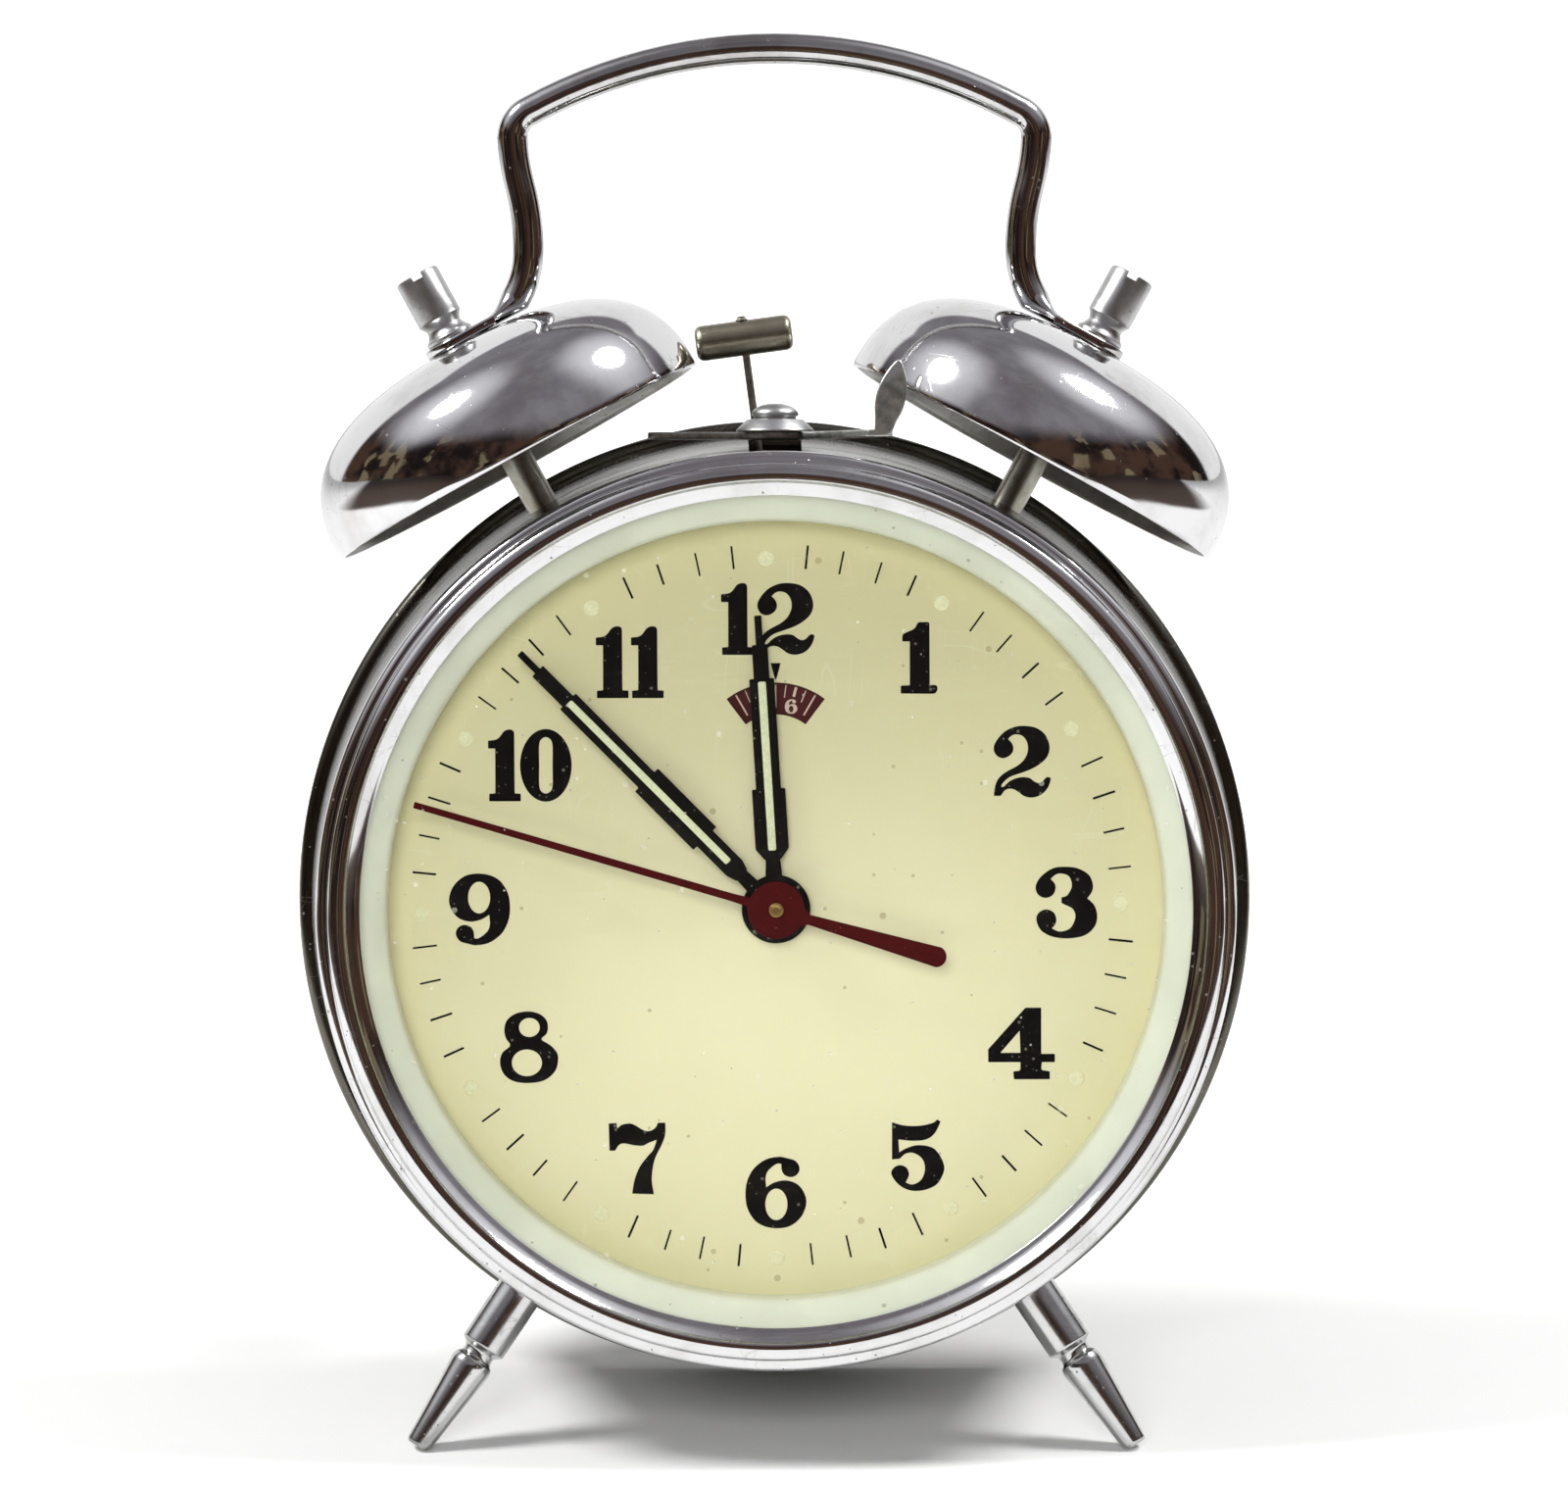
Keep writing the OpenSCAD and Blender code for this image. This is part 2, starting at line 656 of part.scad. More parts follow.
module handle() {
    color("lightsteelblue") seated() {
        rod();
        for (s = [-1, 1]) bell_frame(s) translate([0, 0, bell_h + 0.05]) difference() {
            union() {
                translate([s > 0 ? -tab_len : 0, -tab_w / 2, 0]) cube([tab_len, tab_w, tab_t]);
                cylinder(h = tab_t, r = tab_w / 2, $fn = 64);
            }
            cylinder(h = 9, r = stud_d / 2 + loose, center = true, $fn = 48);
        }
    }
}

// ---------------------------------------------------------------- hammer and stop lever

module hammer_frame() {
    translate([0, hammer_y, hammer_z]) rotate([0, -hammer_lean, 0]) children();
}

module hammer_head() {
    edge = 0.6;
    color([0.45, 0.42, 0.38]) seated() hammer_frame() translate([0, 0, hammer_reach]) difference() {
        rotate([0, 90, 0]) rotate_extrude() polygon([
            [0, -head_len / 2], [head_d / 2 - edge, -head_len / 2], [head_d / 2, -head_len / 2 + edge],
            [head_d / 2, head_len / 2 - edge], [head_d / 2 - edge, head_len / 2], [0, head_len / 2]]);
        cylinder(h = 2 * head_d, r = arm_d / 2 + 0.02, center = true, $fn = 32);
    }
}

verge_angle = -126;

module hammer_arm() {
    color([0.4, 0.4, 0.4]) seated() {
        hammer_frame() {
            translate([0, 0, 1]) cylinder(h = hammer_reach + head_d / 2 - 0.5, r = arm_d / 2, $fn = 32);
            translate([0, 0, hammer_reach + head_d / 2])
                cylinder(h = 0.35, r1 = arm_d / 2 + 0.35, r2 = arm_d / 2, $fn = 32);
        }
        bar(hammer_at, 2, hammer_y - 1.5, hammer_y + 1.5);
        bar(hammer_at, hammer_shaft_r, plate_y1 - 1, rear_y + 1);
        // Verge: a strip from the arbor towards the alarm escape wheel, with two pallets
        slab(hammer_y + 0.7, 0.8) translate(hammer_at) rotate(verge_angle) {
            translate([0, -0.9]) square([verge_len - 1, 1.8]);
            translate([verge_len - 1.2, -3]) square([0.8, 6]);
            for (s = [-1, 1]) translate([verge_len - 1.2, s * 2.6 - 0.4]) square([1.2, 0.8]);
        }
    }
}

alarm_escape_r = 7;
verge_len = norm(hammer_at - alarm_escape_at) - alarm_escape_r - 1.2;

bracket_hole_x = 7;
bracket_pin_r = 1;
bracket_drop = 3.4;
bracket_t = 1;
bracket_z = case_r - bracket_drop;
bracket_pin_top = sqrt(pow(drum_r(lever_y), 2) - pow(bracket_hole_x + bracket_pin_r, 2)) - 0.05;
lever_z = drum_r(lever_y) + 0.9;
rivet_r = 1.3;

// The strip: its right arm runs forward and ends in an upright tab
module stop_lever() {
    color("gainsboro") seated() {
        translate([0, lever_y, lever_z]) difference() {
            linear_extrude(lever_t) difference() {
                union() {
                    polygon([[-lever_left + 2, -lever_w / 2], [lever_w / 2, -lever_w / 2],
                             [lever_right - 3.4, -tab_reach], [lever_right, -tab_reach],
                             [lever_right, 2 - tab_reach], [4, lever_w / 2],
                             [-lever_left + 2, lever_w / 2]]);
                    translate([-lever_left + 2, 0]) circle(r = lever_w / 2, $fn = 48);
                    circle(r = 4.4, $fn = 64);
                }
                circle(r = rivet_r + fit, $fn = 48);
            }
        }
        translate([lever_right - 1.7, lever_y - tab_reach, lever_z]) rotate([0, tab_lean, 0])
            slab(0, lever_t) polygon(concat([[-1.6, 0], [1.7, 0]],
                arc(-1.05, tab_h * 0.62, 2.9, 0, 60, 6), [[0.1, tab_h]],
                arc(1.05, tab_h * 0.62, 2.9, 120, 180, 6)));
    }
}

module lever_rivet() {
    head_z = lever_z + lever_t;
    color("silver") seated() translate([0, lever_y, 0]) {
        rotate_extrude() polygon(concat(
            [[0, bracket_z - 0.8], [rivet_r, bracket_z - 0.8], [rivet_r, head_z],
             [4.85, head_z], [3.45, head_z + 1.6], [2.6, head_z + 1.6], [2.6, head_z + 2],
             [2.9, head_z + 2]],
            [for (i = [1:8]) [2.9 * cos(90 * i / 8), head_z + 2 + 1.6 * sin(90 * i / 8)]]));
    }
}

// Bridge inside the drum that carries the rivet across the hammer slot
module lever_bracket() {
    color("goldenrod") seated() {
        difference() {
            translate([-bracket_hole_x - 3, lever_y - 3, bracket_z])
                cube([2 * bracket_hole_x + 6, 6, bracket_t]);
            translate([0, lever_y, bracket_z - 1]) cylinder(h = 4, r = rivet_r + eps, $fn = 48);
        }
        for (s = [-1, 1]) translate([s * bracket_hole_x, lever_y, bracket_z + bracket_t / 2])
            cylinder(h = bracket_pin_top - bracket_z - bracket_t / 2, r = bracket_pin_r, $fn = 32);
    }
}

// ---------------------------------------------------------------- legs

// Frame of a leg: origin on the drum's surface, +Z towards the foot
module leg_frame(side) {
    rotate([0, 180 - side * leg_angle, 0]) translate([0, leg_y, leg_root_r])
        rotate([leg_lean, 0, 0]) children();
}

module leg(side) {
    length = (foot_c - leg_root_r) / cos(leg_lean);
    taper_y = length + foot_r - foot_len;
    color("silver") intersection() {
        seated() difference() {
            leg_frame(side) {
                rotate_extrude() polygon([
                    [0, -1], [leg_d / 2, -1], [leg_d / 2 - 0.25, taper_y - 2.2],
                    [leg_d / 2 - 0.7, taper_y - 1.8],
                    [1.9, taper_y - 1.5], [1.9, taper_y - 0.4], [leg_d / 2 - 0.5, taper_y],
                    [leg_d / 2 - 0.3, taper_y + 0.6], [foot_r, length], [0, length]]);
                translate([0, 0, length]) sphere(r = foot_r, $fn = 48);
            }
            drum_solid(0.02);
        }
        translate([-leg_end, -leg_end, 0]) cube(2 * leg_end);
    }
    color("silver") seated() leg_frame(side)
        translate([0, 0, -5]) cylinder(h = 6, r = stud_d / 2, $fn = 48);
}

module left_leg() {
    leg(-1);
}

module right_leg() {
    leg(1);
}

module leg_nuts() {
    color("goldenrod") seated() for (s = [-1, 1]) leg_frame(s)
        translate([0, 0, -case_t - 3]) difference() {
            cylinder(h = 2.2, r = 3.1, $fn = 6);
            translate([0, 0, -1]) cylinder(h = 5, r = stud_d / 2 + 0.02, $fn = 48);
        }
}

// ---------------------------------------------------------------- back

cover_r = drum_r(case_y1) - case_t - loose;

module back_cover() {
    color("silver") seated() difference() {
        turned() polygon([[0, cover_y - cover_t], [cover_r - 3, cover_y - cover_t],
                          [cover_r - 2, cover_y - cover_t - 1.4], [cover_r, cover_y - cover_t - 1.4],
                          [cover_r, cover_y - 1.2], [cover_r - 2.2, cover_y - 0.9],
                          [cover_r - 3.2, cover_y], [0, cover_y]]);
        for (p = [time_at, alarm_drum_at]) bar(p, wind_shaft_r + 0.5, 0, through);
        for (p = [set_at, alarm_at]) bar(p, set_shaft_r + 0.5, 0, through);
        for (p = pillar_at) bar(p, screw_r + loose, 0, through);
        slab(cover_y - 3, 6) translate(balance_at)
            polygon(concat(
                arc(0, 0, regulator_len + 0.8, regulator_angle - 24, regulator_angle + 24, 12),
                arc(0, 0, regulator_len - 2.4, regulator_angle + 24, regulator_angle - 24, 12)));
    }
}

module cover_screws() {
    color("goldenrod") seated() for (p = pillar_at) put(p) difference() {
        union() {
            bar([0, 0], screw_r, cover_y - cover_t - 1.9, cover_y + 0.2);
            turned() polygon([[0, cover_y], [screw_head_r, cover_y],
                              [screw_head_r, cover_y + screw_head_h / 2],
                              [screw_head_r - 0.6, cover_y + screw_head_h], [0, cover_y + screw_head_h]]);
        }
        translate([-screw_slot_w / 2, cover_y + screw_head_h / 2, -2 * screw_head_r])
            cube([screw_slot_w, 2 * screw_head_h, 4 * screw_head_r]);
    }
}

module winding_key(at, turn) {
    color("silver") seated() put(at) rotate([0, turn, 0]) difference() {
        union() {
            bar([0, 0], wind_shaft_r + 1, key_y, key_y + key_hub_len);
            translate([0, key_end - wing_r, 0]) rotate([0, 0, 90]) slab(-key_t / 2, key_t) wings();
        }
        bar([0, 0], wind_shaft_r + 0.02, key_y - 1, key_y + key_hub_len - 2 + eps);
    }
}

// Key wings: x runs along the shaft, y across
module wings() {
    difference() {
        union() {
            for (s = [-1, 1]) translate([0, s * (key_w / 2 - wing_r)]) circle(r = wing_r, $fn = 48);
            square([7, key_w - 2 * wing_r], center = true);
            translate([-wing_r, -2.4]) square([wing_r + 1, 4.8]);
        }
        for (s = [-1, 1]) translate([0.5, s * (key_w / 2 - wing_r)]) circle(r = 2.2, $fn = 32);
    }
}

module time_key() {
    winding_key(time_at, 90);
}

module alarm_key() {
    winding_key(alarm_drum_at, 90);
}

module set_knob(at) {
    color("goldenrod") seated() put(at) difference() {
        slab(cover_y + 1, knob_len) gear_outline(24, knob_d / 24 * 0.95);
        bar([0, 0], set_shaft_r, 0, cover_y + knob_len - 1);
    }
}

module time_set_knob() {
    set_knob(set_at);
}

module alarm_set_knob() {
    set_knob(alarm_at);
}

module regulator_lever() {
    color("silver") seated() put(balance_at) {
        difference() {
            union() {
                bar([0, 0], 2.6, rear_y1 + 0.1, rear_y1 + 0.7);
                rotate([0, -regulator_angle, 0]) translate([0, rear_y1 + 0.1, -0.8])
                    cube([regulator_len, 0.6, 1.6]);
            }
            bar([0, 0], 1.3 + fit, 0, through);
        }
        rotate([0, -regulator_angle, 0]) translate([regulator_len - 1.4, rear_y1 + 0.1, -0.8])
            cube([1.2, cover_y + 2 - rear_y1, 1.6]);
    }
}

// ---------------------------------------------------------------- movement frame

module plate_outline() {
    difference() {
        circle(r = plate_r);
        for (a = [-90, 90]) rotate(a) translate([plate_r + 34, 0]) circle(r = 36);
    }
}

// Holes of both plates for everything that runs off the dial's centre
module shaft_holes() {
    for (p = [third_at, escape_at, pallet_at, balance_at, alarm_escape_at])
        bar(p, thin_shaft_r + fit, 0, through);
    for (p = [time_at, alarm_drum_at]) bar(p, wind_shaft_r + fit, 0, through);
    for (p = [set_at, alarm_at]) bar(p, set_shaft_r + fit, 0, through);
    bar(hammer_at, hammer_shaft_r + fit, 0, through);
    for (p = pillar_at) bar(p, pillar_stud_r + fit, 0, through);
}

module front_plate() {
    color("gold") seated() difference() {
        bar([0, 0], plate_r, plate_y, plate_y1);
        bar([0, 0], centre_pipe_r2 + fit, 0, through);
        shaft_holes();
    }
    color("gold") seated() bar(minute_at, 0.8, minute_wheel_y - 2.5, plate_y + 0.5);
}

module rear_plate() {
    color("gold") seated() {
        difference() {
            bar([0, 0], plate_r, rear_y, rear_y1);
            bar([0, 0], seconds_shaft_r + fit, 0, through);
            shaft_holes();
        }
        put(balance_at) difference() {
            bar([0, 0], 1.3, rear_y1 - eps, rear_y1 + 1.2);
            bar([0, 0], thin_shaft_r + fit, 0, through);
        }
    }
}

module pillars() {
    color("goldenrod") seated() for (p = pillar_at) {
        bar(p, pillar_r, plate_y1, rear_y);
        bar(p, pillar_stud_r, plate_y - hex_nut_h - 0.2, rear_y1 + hex_nut_h + 0.2);
    }
}

module pillar_nuts() {
    color("silver") seated() for (p = pillar_at) put(p) difference() {
        translate([0, plate_y, 0]) rotate([90, 0, 0]) cylinder(h = hex_nut_h, r = hex_nut_r, $fn = 6);
        bar([0, 0], pillar_stud_r + 0.02, 0, through);
    }
}

// Tall nuts between the rear plate and the back cover
module cover_standoffs() {
    color("silver") seated() for (p = pillar_at) put(p) difference() {
        translate([0, cover_y - cover_t, 0]) rotate([90, 0, 0])
            cylinder(h = cover_y - cover_t - rear_y1, r = hex_nut_r, $fn = 6);
        bar([0, 0], pillar_stud_r + 0.02, 0, rear_y1 + hex_nut_h + 0.4);
        bar([0, 0], screw_r + 0.02, 0, through);
    }
}

// ---------------------------------------------------------------- wheels under the dial

cannon_phase = 0;
minute_phase = meshed(cannon_phase, cannon_teeth, minute_teeth, minute_angle);
minute_pinion_phase = 0;
hour_phase = meshed(minute_pinion_phase, minute_pinion_teeth, hour_teeth, minute_angle + 180);
alarm_phase = meshed(hour_phase, hour_teeth, hour_teeth, 90);
set_phase = meshed(minute_phase, minute_teeth, cannon_teeth, minute_angle);

module cannon_pinion() {
    color("gold") seated() difference() {
        union() {
            bar([0, 0], cannon_r2, minute_hand_y, plate_y - 0.3);
            slab(minute_wheel_y - 0.2, cannon_teeth_t) gear_outline(cannon_teeth, minute_m, cannon_phase);
        }
        bar([0, 0], cannon_r1, 0, through);
    }
}

module minute_wheel() {
    color("gold") seated() put(minute_at) difference() {
        union() {
            slab(minute_wheel_y, wheel_t) wheel(minute_teeth, minute_m, minute_phase, 1.6, 0.8 + fit);
            slab(hour_wheel_y - 0.2, minute_wheel_y - hour_wheel_y + 0.2 + eps)
                gear_outline(minute_pinion_teeth, hour_m, minute_pinion_phase);
        }
        bar([0, 0], 0.8 + fit, 0, through);
    }
}

module hour_wheel() {
    color("gold") seated() difference() {
        union() {
            bar([0, 0], hour_pipe_r2, hour_hand_y, hour_wheel_y + wheel_t);
            slab(hour_wheel_y, wheel_t) wheel(hour_teeth, hour_m, hour_phase, hour_pipe_r2, hour_pipe_r1);
        }
        bar([0, 0], hour_pipe_r1, 0, through);
    }
}

module alarm_wheel() {
    color("gold") seated() put(alarm_at)
        slab(hour_wheel_y, wheel_t) wheel(hour_teeth, hour_m, alarm_phase, 2, set_shaft_r + fit);
}

module time_set_arbor() {
    color("silver") seated() put(set_at) {
        bar([0, 0], set_shaft_r, minute_wheel_y - 0.6, cover_y + knob_len - 1);
        slab(minute_wheel_y - 0.2, cannon_teeth_t) gear_outline(cannon_teeth, minute_m, set_phase);
    }
}

module alarm_set_arbor() {
    color("silver") seated() put(alarm_at)
        bar([0, 0], set_shaft_r, alarm_disc_y, cover_y + knob_len - 1);
}

// ---------------------------------------------------------------- going train

great_phase = 0;
centre_pinion_phase = meshed(great_phase, great_teeth, centre_pinion_teeth, 160);
centre_phase = 0;
third_pinion_phase = meshed(centre_phase, centre_teeth, third_pinion_teeth, -90);
third_phase = 0;
seconds_pinion_phase = meshed(third_phase, third_teeth, seconds_pinion_teeth, 90);
seconds_phase = 0;
escape_pinion_phase = meshed(seconds_phase, seconds_teeth, escape_pinion_teeth, escape_angle);

module centre_wheel() {
    color("gold") seated() difference() {
        union() {
            bar([0, 0], centre_pipe_r2, minute_hand_y + 0.4, great_y + great_t + 0.6);
            bar([0, 0], 1.6, centre_wheel_y - 0.6, great_y);
            slab(centre_wheel_y, wheel_t) wheel(centre_teeth, centre_m, centre_phase, 2, 0.5, 6);
            slab(great_y - 0.3, great_t + 0.6)
                gear_outline(centre_pinion_teeth, great_m, centre_pinion_phase);
        }
        bar([0, 0], centre_pipe_r1, 0, through);
    }
}

module third_wheel() {
    color("gold") seated() put(third_at) {
        bar([0, 0], thin_shaft_r, plate_y + 0.2, rear_y1 - 0.2);
        slab(centre_wheel_y - 0.5, wheel_t + 1)
            gear_outline(third_pinion_teeth, centre_m, third_pinion_phase);
        slab(third_wheel_y, wheel_t) wheel(third_teeth, third_m, third_phase, 1.6, 0.3, 6);
    }
}

module seconds_wheel() {
    color("gold") seated() {
        bar([0, 0], seconds_shaft_r, second_hand_y - 0.1, rear_y1 - 0.2);
        slab(third_wheel_y - 0.3, seconds_wheel_y - third_wheel_y + 0.3)
            gear_outline(seconds_pinion_teeth, third_m, seconds_pinion_phase);
        slab(seconds_wheel_y, wheel_t) wheel(seconds_teeth, seconds_m, seconds_phase, 1.6, 0.3);
    }
}

// Pointed escape wheel teeth
module saw_outline(teeth, r1, r2, lean) {
    step = 360 / teeth;
    polygon([for (i = [0:teeth - 1], p = [[r1, 0], [r2, lean], [r2, lean + 0.06], [r1, 0.42]])
        polar(p[0], step * (i + p[1]))]);
}

escape_r = 5.4;

module escape_wheel() {
    color("gold") seated() put(escape_at) {
        bar([0, 0], thin_shaft_r, plate_y + 0.2, rear_y1 - 0.2);
        slab(seconds_wheel_y - 0.2, wheel_t + 0.4)
            gear_outline(escape_pinion_teeth, seconds_m, escape_pinion_phase);
        slab(escape_wheel_y, wheel_t) saw_outline(15, escape_r - 1.4, escape_r, 0.2);
    }
}

module pallet_fork() {
    reach = norm(pallet_at - escape_at);
    arm_a = atan2(escape_at[1] - pallet_at[1], escape_at[0] - pallet_at[0]);
    fork_a = atan2(balance_at[1] - pallet_at[1], balance_at[0] - pallet_at[0]);
    color("silver") seated() put(pallet_at) {
        bar([0, 0], thin_shaft_r, plate_y + 0.2, rear_y1 - 0.2);
        slab(escape_wheel_y, wheel_t) {
            circle(r = 1.4, $fn = 32);
            rotate(arm_a) difference() {
                intersection() {
                    circle(r = reach + 1);
                    translate([0, -4.6]) square([reach - 2.2, 9.2]);
                    difference() {
                        translate([reach, 0]) circle(r = escape_r + 1.9);
                        translate([reach, 0]) circle(r = escape_r + 0.6);
                    }
                }
            }
            rotate(arm_a) translate([0, -0.7]) square([reach - escape_r - 0.6, 1.4]);
            rotate(fork_a) translate([0, -0.6]) square([8.2, 1.2]);
            rotate(fork_a) for (s = [-1, 1]) translate([7.8, s * 0.9 - 0.35]) square([2, 0.7]);
            rotate(fork_a) translate([7.2, -1.25]) square([0.8, 2.5]);
        }
    }
}

module balance_wheel() {
    color("gold") seated() put(balance_at) {
        bar([0, 0], thin_shaft_r, plate_y + 0.2, rear_y1 - 0.2);
        bar([0, 0], 1.6, escape_wheel_y + wheel_t + 0.4, escape_wheel_y + wheel_t + 1.2);
        slab(balance_y, 1) difference() {
            circle(r = balance_r);
            difference() {
                circle(r = balance_r - balance_rim);
                square([2 * balance_r - 2, 1.6], center = true);
                circle(r = 1.8);
            }
        }
        slab(balance_y + 1, 1.2) difference() {
            circle(r = 1.2, $fn = 32);
            circle(r = 0.3, $fn = 32);
        }
    }
}

// Flat spiral ribbon from radius r1 to r2
module spiral(r1, r2, turns, t) {
    steps = turns * 20;
    side_out = [for (i = [0:steps]) polar(r1 + (r2 - r1) * i / steps + t / 2, i * 18)];
    side_in = [for (i = [steps:-1:0]) polar(r1 + (r2 - r1) * i / steps - t / 2, i * 18)];
    polygon(concat(side_out, side_in));
}

module hairspring() {
    color("steelblue") seated() put(balance_at)
        slab(balance_y + 1.2, 0.8) spiral(1.32, 4.8, 4, 0.16);
}

// ---------------------------------------------------------------- spring barrels

module winding_arbor(at) {
    color("silver") seated() put(at) {
        bar([0, 0], wind_shaft_r, plate_y + 0.2, key_y + key_hub_len - 2);
        bar([0, 0], wind_shaft_r + 1.2, spring_y - 0.6, spring_y + spring_h);
    }
}

module great_wheel(at, m, phase) {
    color("gold") seated() put(at)
        slab(great_y, great_t) wheel(great_teeth, m, phase, 4.2, wind_shaft_r + fit, 4);
}

module mainspring(at, r) {
    color("slategray") seated() put(at)
        slab(spring_y, spring_h) spiral(wind_shaft_r + 1.2 + 0.35, r, 6, 0.5);
}

module time_great_wheel() {
    great_wheel(time_at, great_m, great_phase);
}

module time_winding_arbor() {
    winding_arbor(time_at);
}

module time_mainspring() {
    mainspring(time_at, 14.5);
}

module alarm_great_wheel() {
    great_wheel(alarm_drum_at, alarm_m, 0);
}

module alarm_winding_arbor() {
    winding_arbor(alarm_drum_at);
}

module alarm_mainspring() {
    mainspring(alarm_drum_at, 13.5);
}

module alarm_escape_wheel() {
    phase = meshed(0, great_teeth, alarm_pinion_teeth, alarm_pinion_angle);
    color("gold") seated() put(alarm_escape_at) {
        bar([0, 0], thin_shaft_r, plate_y + 0.2, rear_y1 - 0.2);
        slab(great_y - 0.3, great_t + 0.6) gear_outline(alarm_pinion_teeth, alarm_m, phase);
        slab(hammer_y + 0.5, 1.2) saw_outline(15, alarm_escape_r - 1.8, alarm_escape_r, 0.2);
    }
}

case_drum();
bezel();
glass();
dial_ring();
dial_plate();
alarm_disc();
hour_hand();
minute_hand();
second_hand();
left_bell();
right_bell();
left_bell_post();
right_bell_post();
left_bell_nut();
right_bell_nut();
post_nuts();
handle();
hammer_head();
hammer_arm();
stop_lever();
lever_rivet();
lever_bracket();
left_leg();
right_leg();
leg_nuts();
back_cover();
cover_screws();
time_key();
alarm_key();
time_set_knob();
alarm_set_knob();
regulator_lever();
front_plate();
rear_plate();
pillars();
pillar_nuts();
cover_standoffs();
cannon_pinion();
minute_wheel();
hour_wheel();
alarm_wheel();
time_set_arbor();
alarm_set_arbor();
centre_wheel();
third_wheel();
seconds_wheel();
escape_wheel();
pallet_fork();
balance_wheel();
hairspring();
time_great_wheel();
time_winding_arbor();
time_mainspring();
alarm_great_wheel();
alarm_winding_arbor();
alarm_mainspring();
alarm_escape_wheel();
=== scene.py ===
"""A wind-up alarm clock with two bells: the looks of its pieces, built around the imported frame."""
import json
from math import asin, atan2, ceil, cos, degrees, pi, radians, sin, sqrt

import bmesh
import bpy
from mathutils import Matrix, Vector


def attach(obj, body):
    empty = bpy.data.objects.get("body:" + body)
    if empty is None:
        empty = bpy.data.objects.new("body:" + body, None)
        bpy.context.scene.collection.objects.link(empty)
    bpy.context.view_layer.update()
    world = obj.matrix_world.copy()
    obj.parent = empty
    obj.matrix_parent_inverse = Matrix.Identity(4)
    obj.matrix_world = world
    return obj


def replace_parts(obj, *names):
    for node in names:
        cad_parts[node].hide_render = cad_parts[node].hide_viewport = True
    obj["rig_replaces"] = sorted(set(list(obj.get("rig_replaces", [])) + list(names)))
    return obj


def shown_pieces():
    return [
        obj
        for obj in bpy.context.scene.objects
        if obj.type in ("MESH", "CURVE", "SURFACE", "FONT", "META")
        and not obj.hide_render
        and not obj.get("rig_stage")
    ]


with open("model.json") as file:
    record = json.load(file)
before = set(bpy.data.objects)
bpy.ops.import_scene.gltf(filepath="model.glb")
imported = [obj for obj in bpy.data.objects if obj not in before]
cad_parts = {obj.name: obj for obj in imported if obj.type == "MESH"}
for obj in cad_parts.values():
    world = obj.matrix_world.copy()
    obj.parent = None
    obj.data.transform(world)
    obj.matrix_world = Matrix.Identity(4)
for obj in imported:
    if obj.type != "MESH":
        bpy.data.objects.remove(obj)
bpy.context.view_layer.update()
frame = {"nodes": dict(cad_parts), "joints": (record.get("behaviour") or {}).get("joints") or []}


# ---------------- the clock's own frame
# The clock leans back on its stand, so its pieces are made in millimetres around the dial's
# axis: x to the right, y into the case from the glass, z up the dial. The minute hand's joint
# gives that axis, and its place lies 20 mm behind the front of the glass.
joint_behind_glass = 0.020
minute_joint = next(j for j in frame["joints"] if j["name"] == "minute_turn")
dial_axis = Vector(minute_joint["axis"]).normalized()
dial_origin = Vector(minute_joint["pos_m"]) - joint_behind_glass * dial_axis
dial_up = Vector((1, 0, 0)).cross(dial_axis)
lean_back = atan2(-dial_axis.z, dial_axis.y)
CLOCK = Matrix((
    (0.001, 0.001 * dial_axis.x, 0.001 * dial_up.x, dial_origin.x),
    (0, 0.001 * dial_axis.y, 0.001 * dial_up.y, dial_origin.y),
    (0, 0.001 * dial_axis.z, 0.001 * dial_up.z, dial_origin.z),
    (0, 0, 0, 1)))
FACING = Matrix(((1, 0, 0, 0), (0, 0, 1, 0), (0, 1, 0, 0), (0, 0, 0, 1)))  # height becomes depth


# ---------------- the studio
# A white table top on a white backdrop, a small lamp high up at each side and a broad one low
# in front. The polished metal mirrors a dim room, with wood in front and pale paper behind.
class Wire:
    """A shader socket that can be used in a plain expression with numbers and other sockets."""

    def __init__(self, finish, socket):
        self.finish = finish
        self.socket = socket

    def sum(self, operation, first, second=0.0):
        return self.finish.node("ShaderNodeMath", {"operation": operation}, {0: first, 1: second})

    def __add__(self, other): return self.sum("ADD", self, other)
    def __radd__(self, other): return self.sum("ADD", other, self)
    def __sub__(self, other): return self.sum("SUBTRACT", self, other)
    def __rsub__(self, other): return self.sum("SUBTRACT", other, self)
    def __mul__(self, other): return self.sum("MULTIPLY", self, other)
    def __rmul__(self, other): return self.sum("MULTIPLY", other, self)
    def __truediv__(self, other): return self.sum("DIVIDE", self, other)
    def __rtruediv__(self, other): return self.sum("DIVIDE", other, self)
    def __pow__(self, other): return self.sum("POWER", self, other)
    def __gt__(self, other): return self.sum("GREATER_THAN", self, other)
    def __lt__(self, other): return self.sum("LESS_THAN", self, other)

    def least(self, other): return self.sum("MINIMUM", self, other)
    def most(self, other): return self.sum("MAXIMUM", self, other)

    def ramp(self, low, high):
        """0 below low, 1 above high, and a soft step between them."""
        return self.finish.node("ShaderNodeMapRange", {"interpolation_type": "SMOOTHSTEP"},
                                {0: self, 1: low, 2: high, 3: 0.0, 4: 1.0})


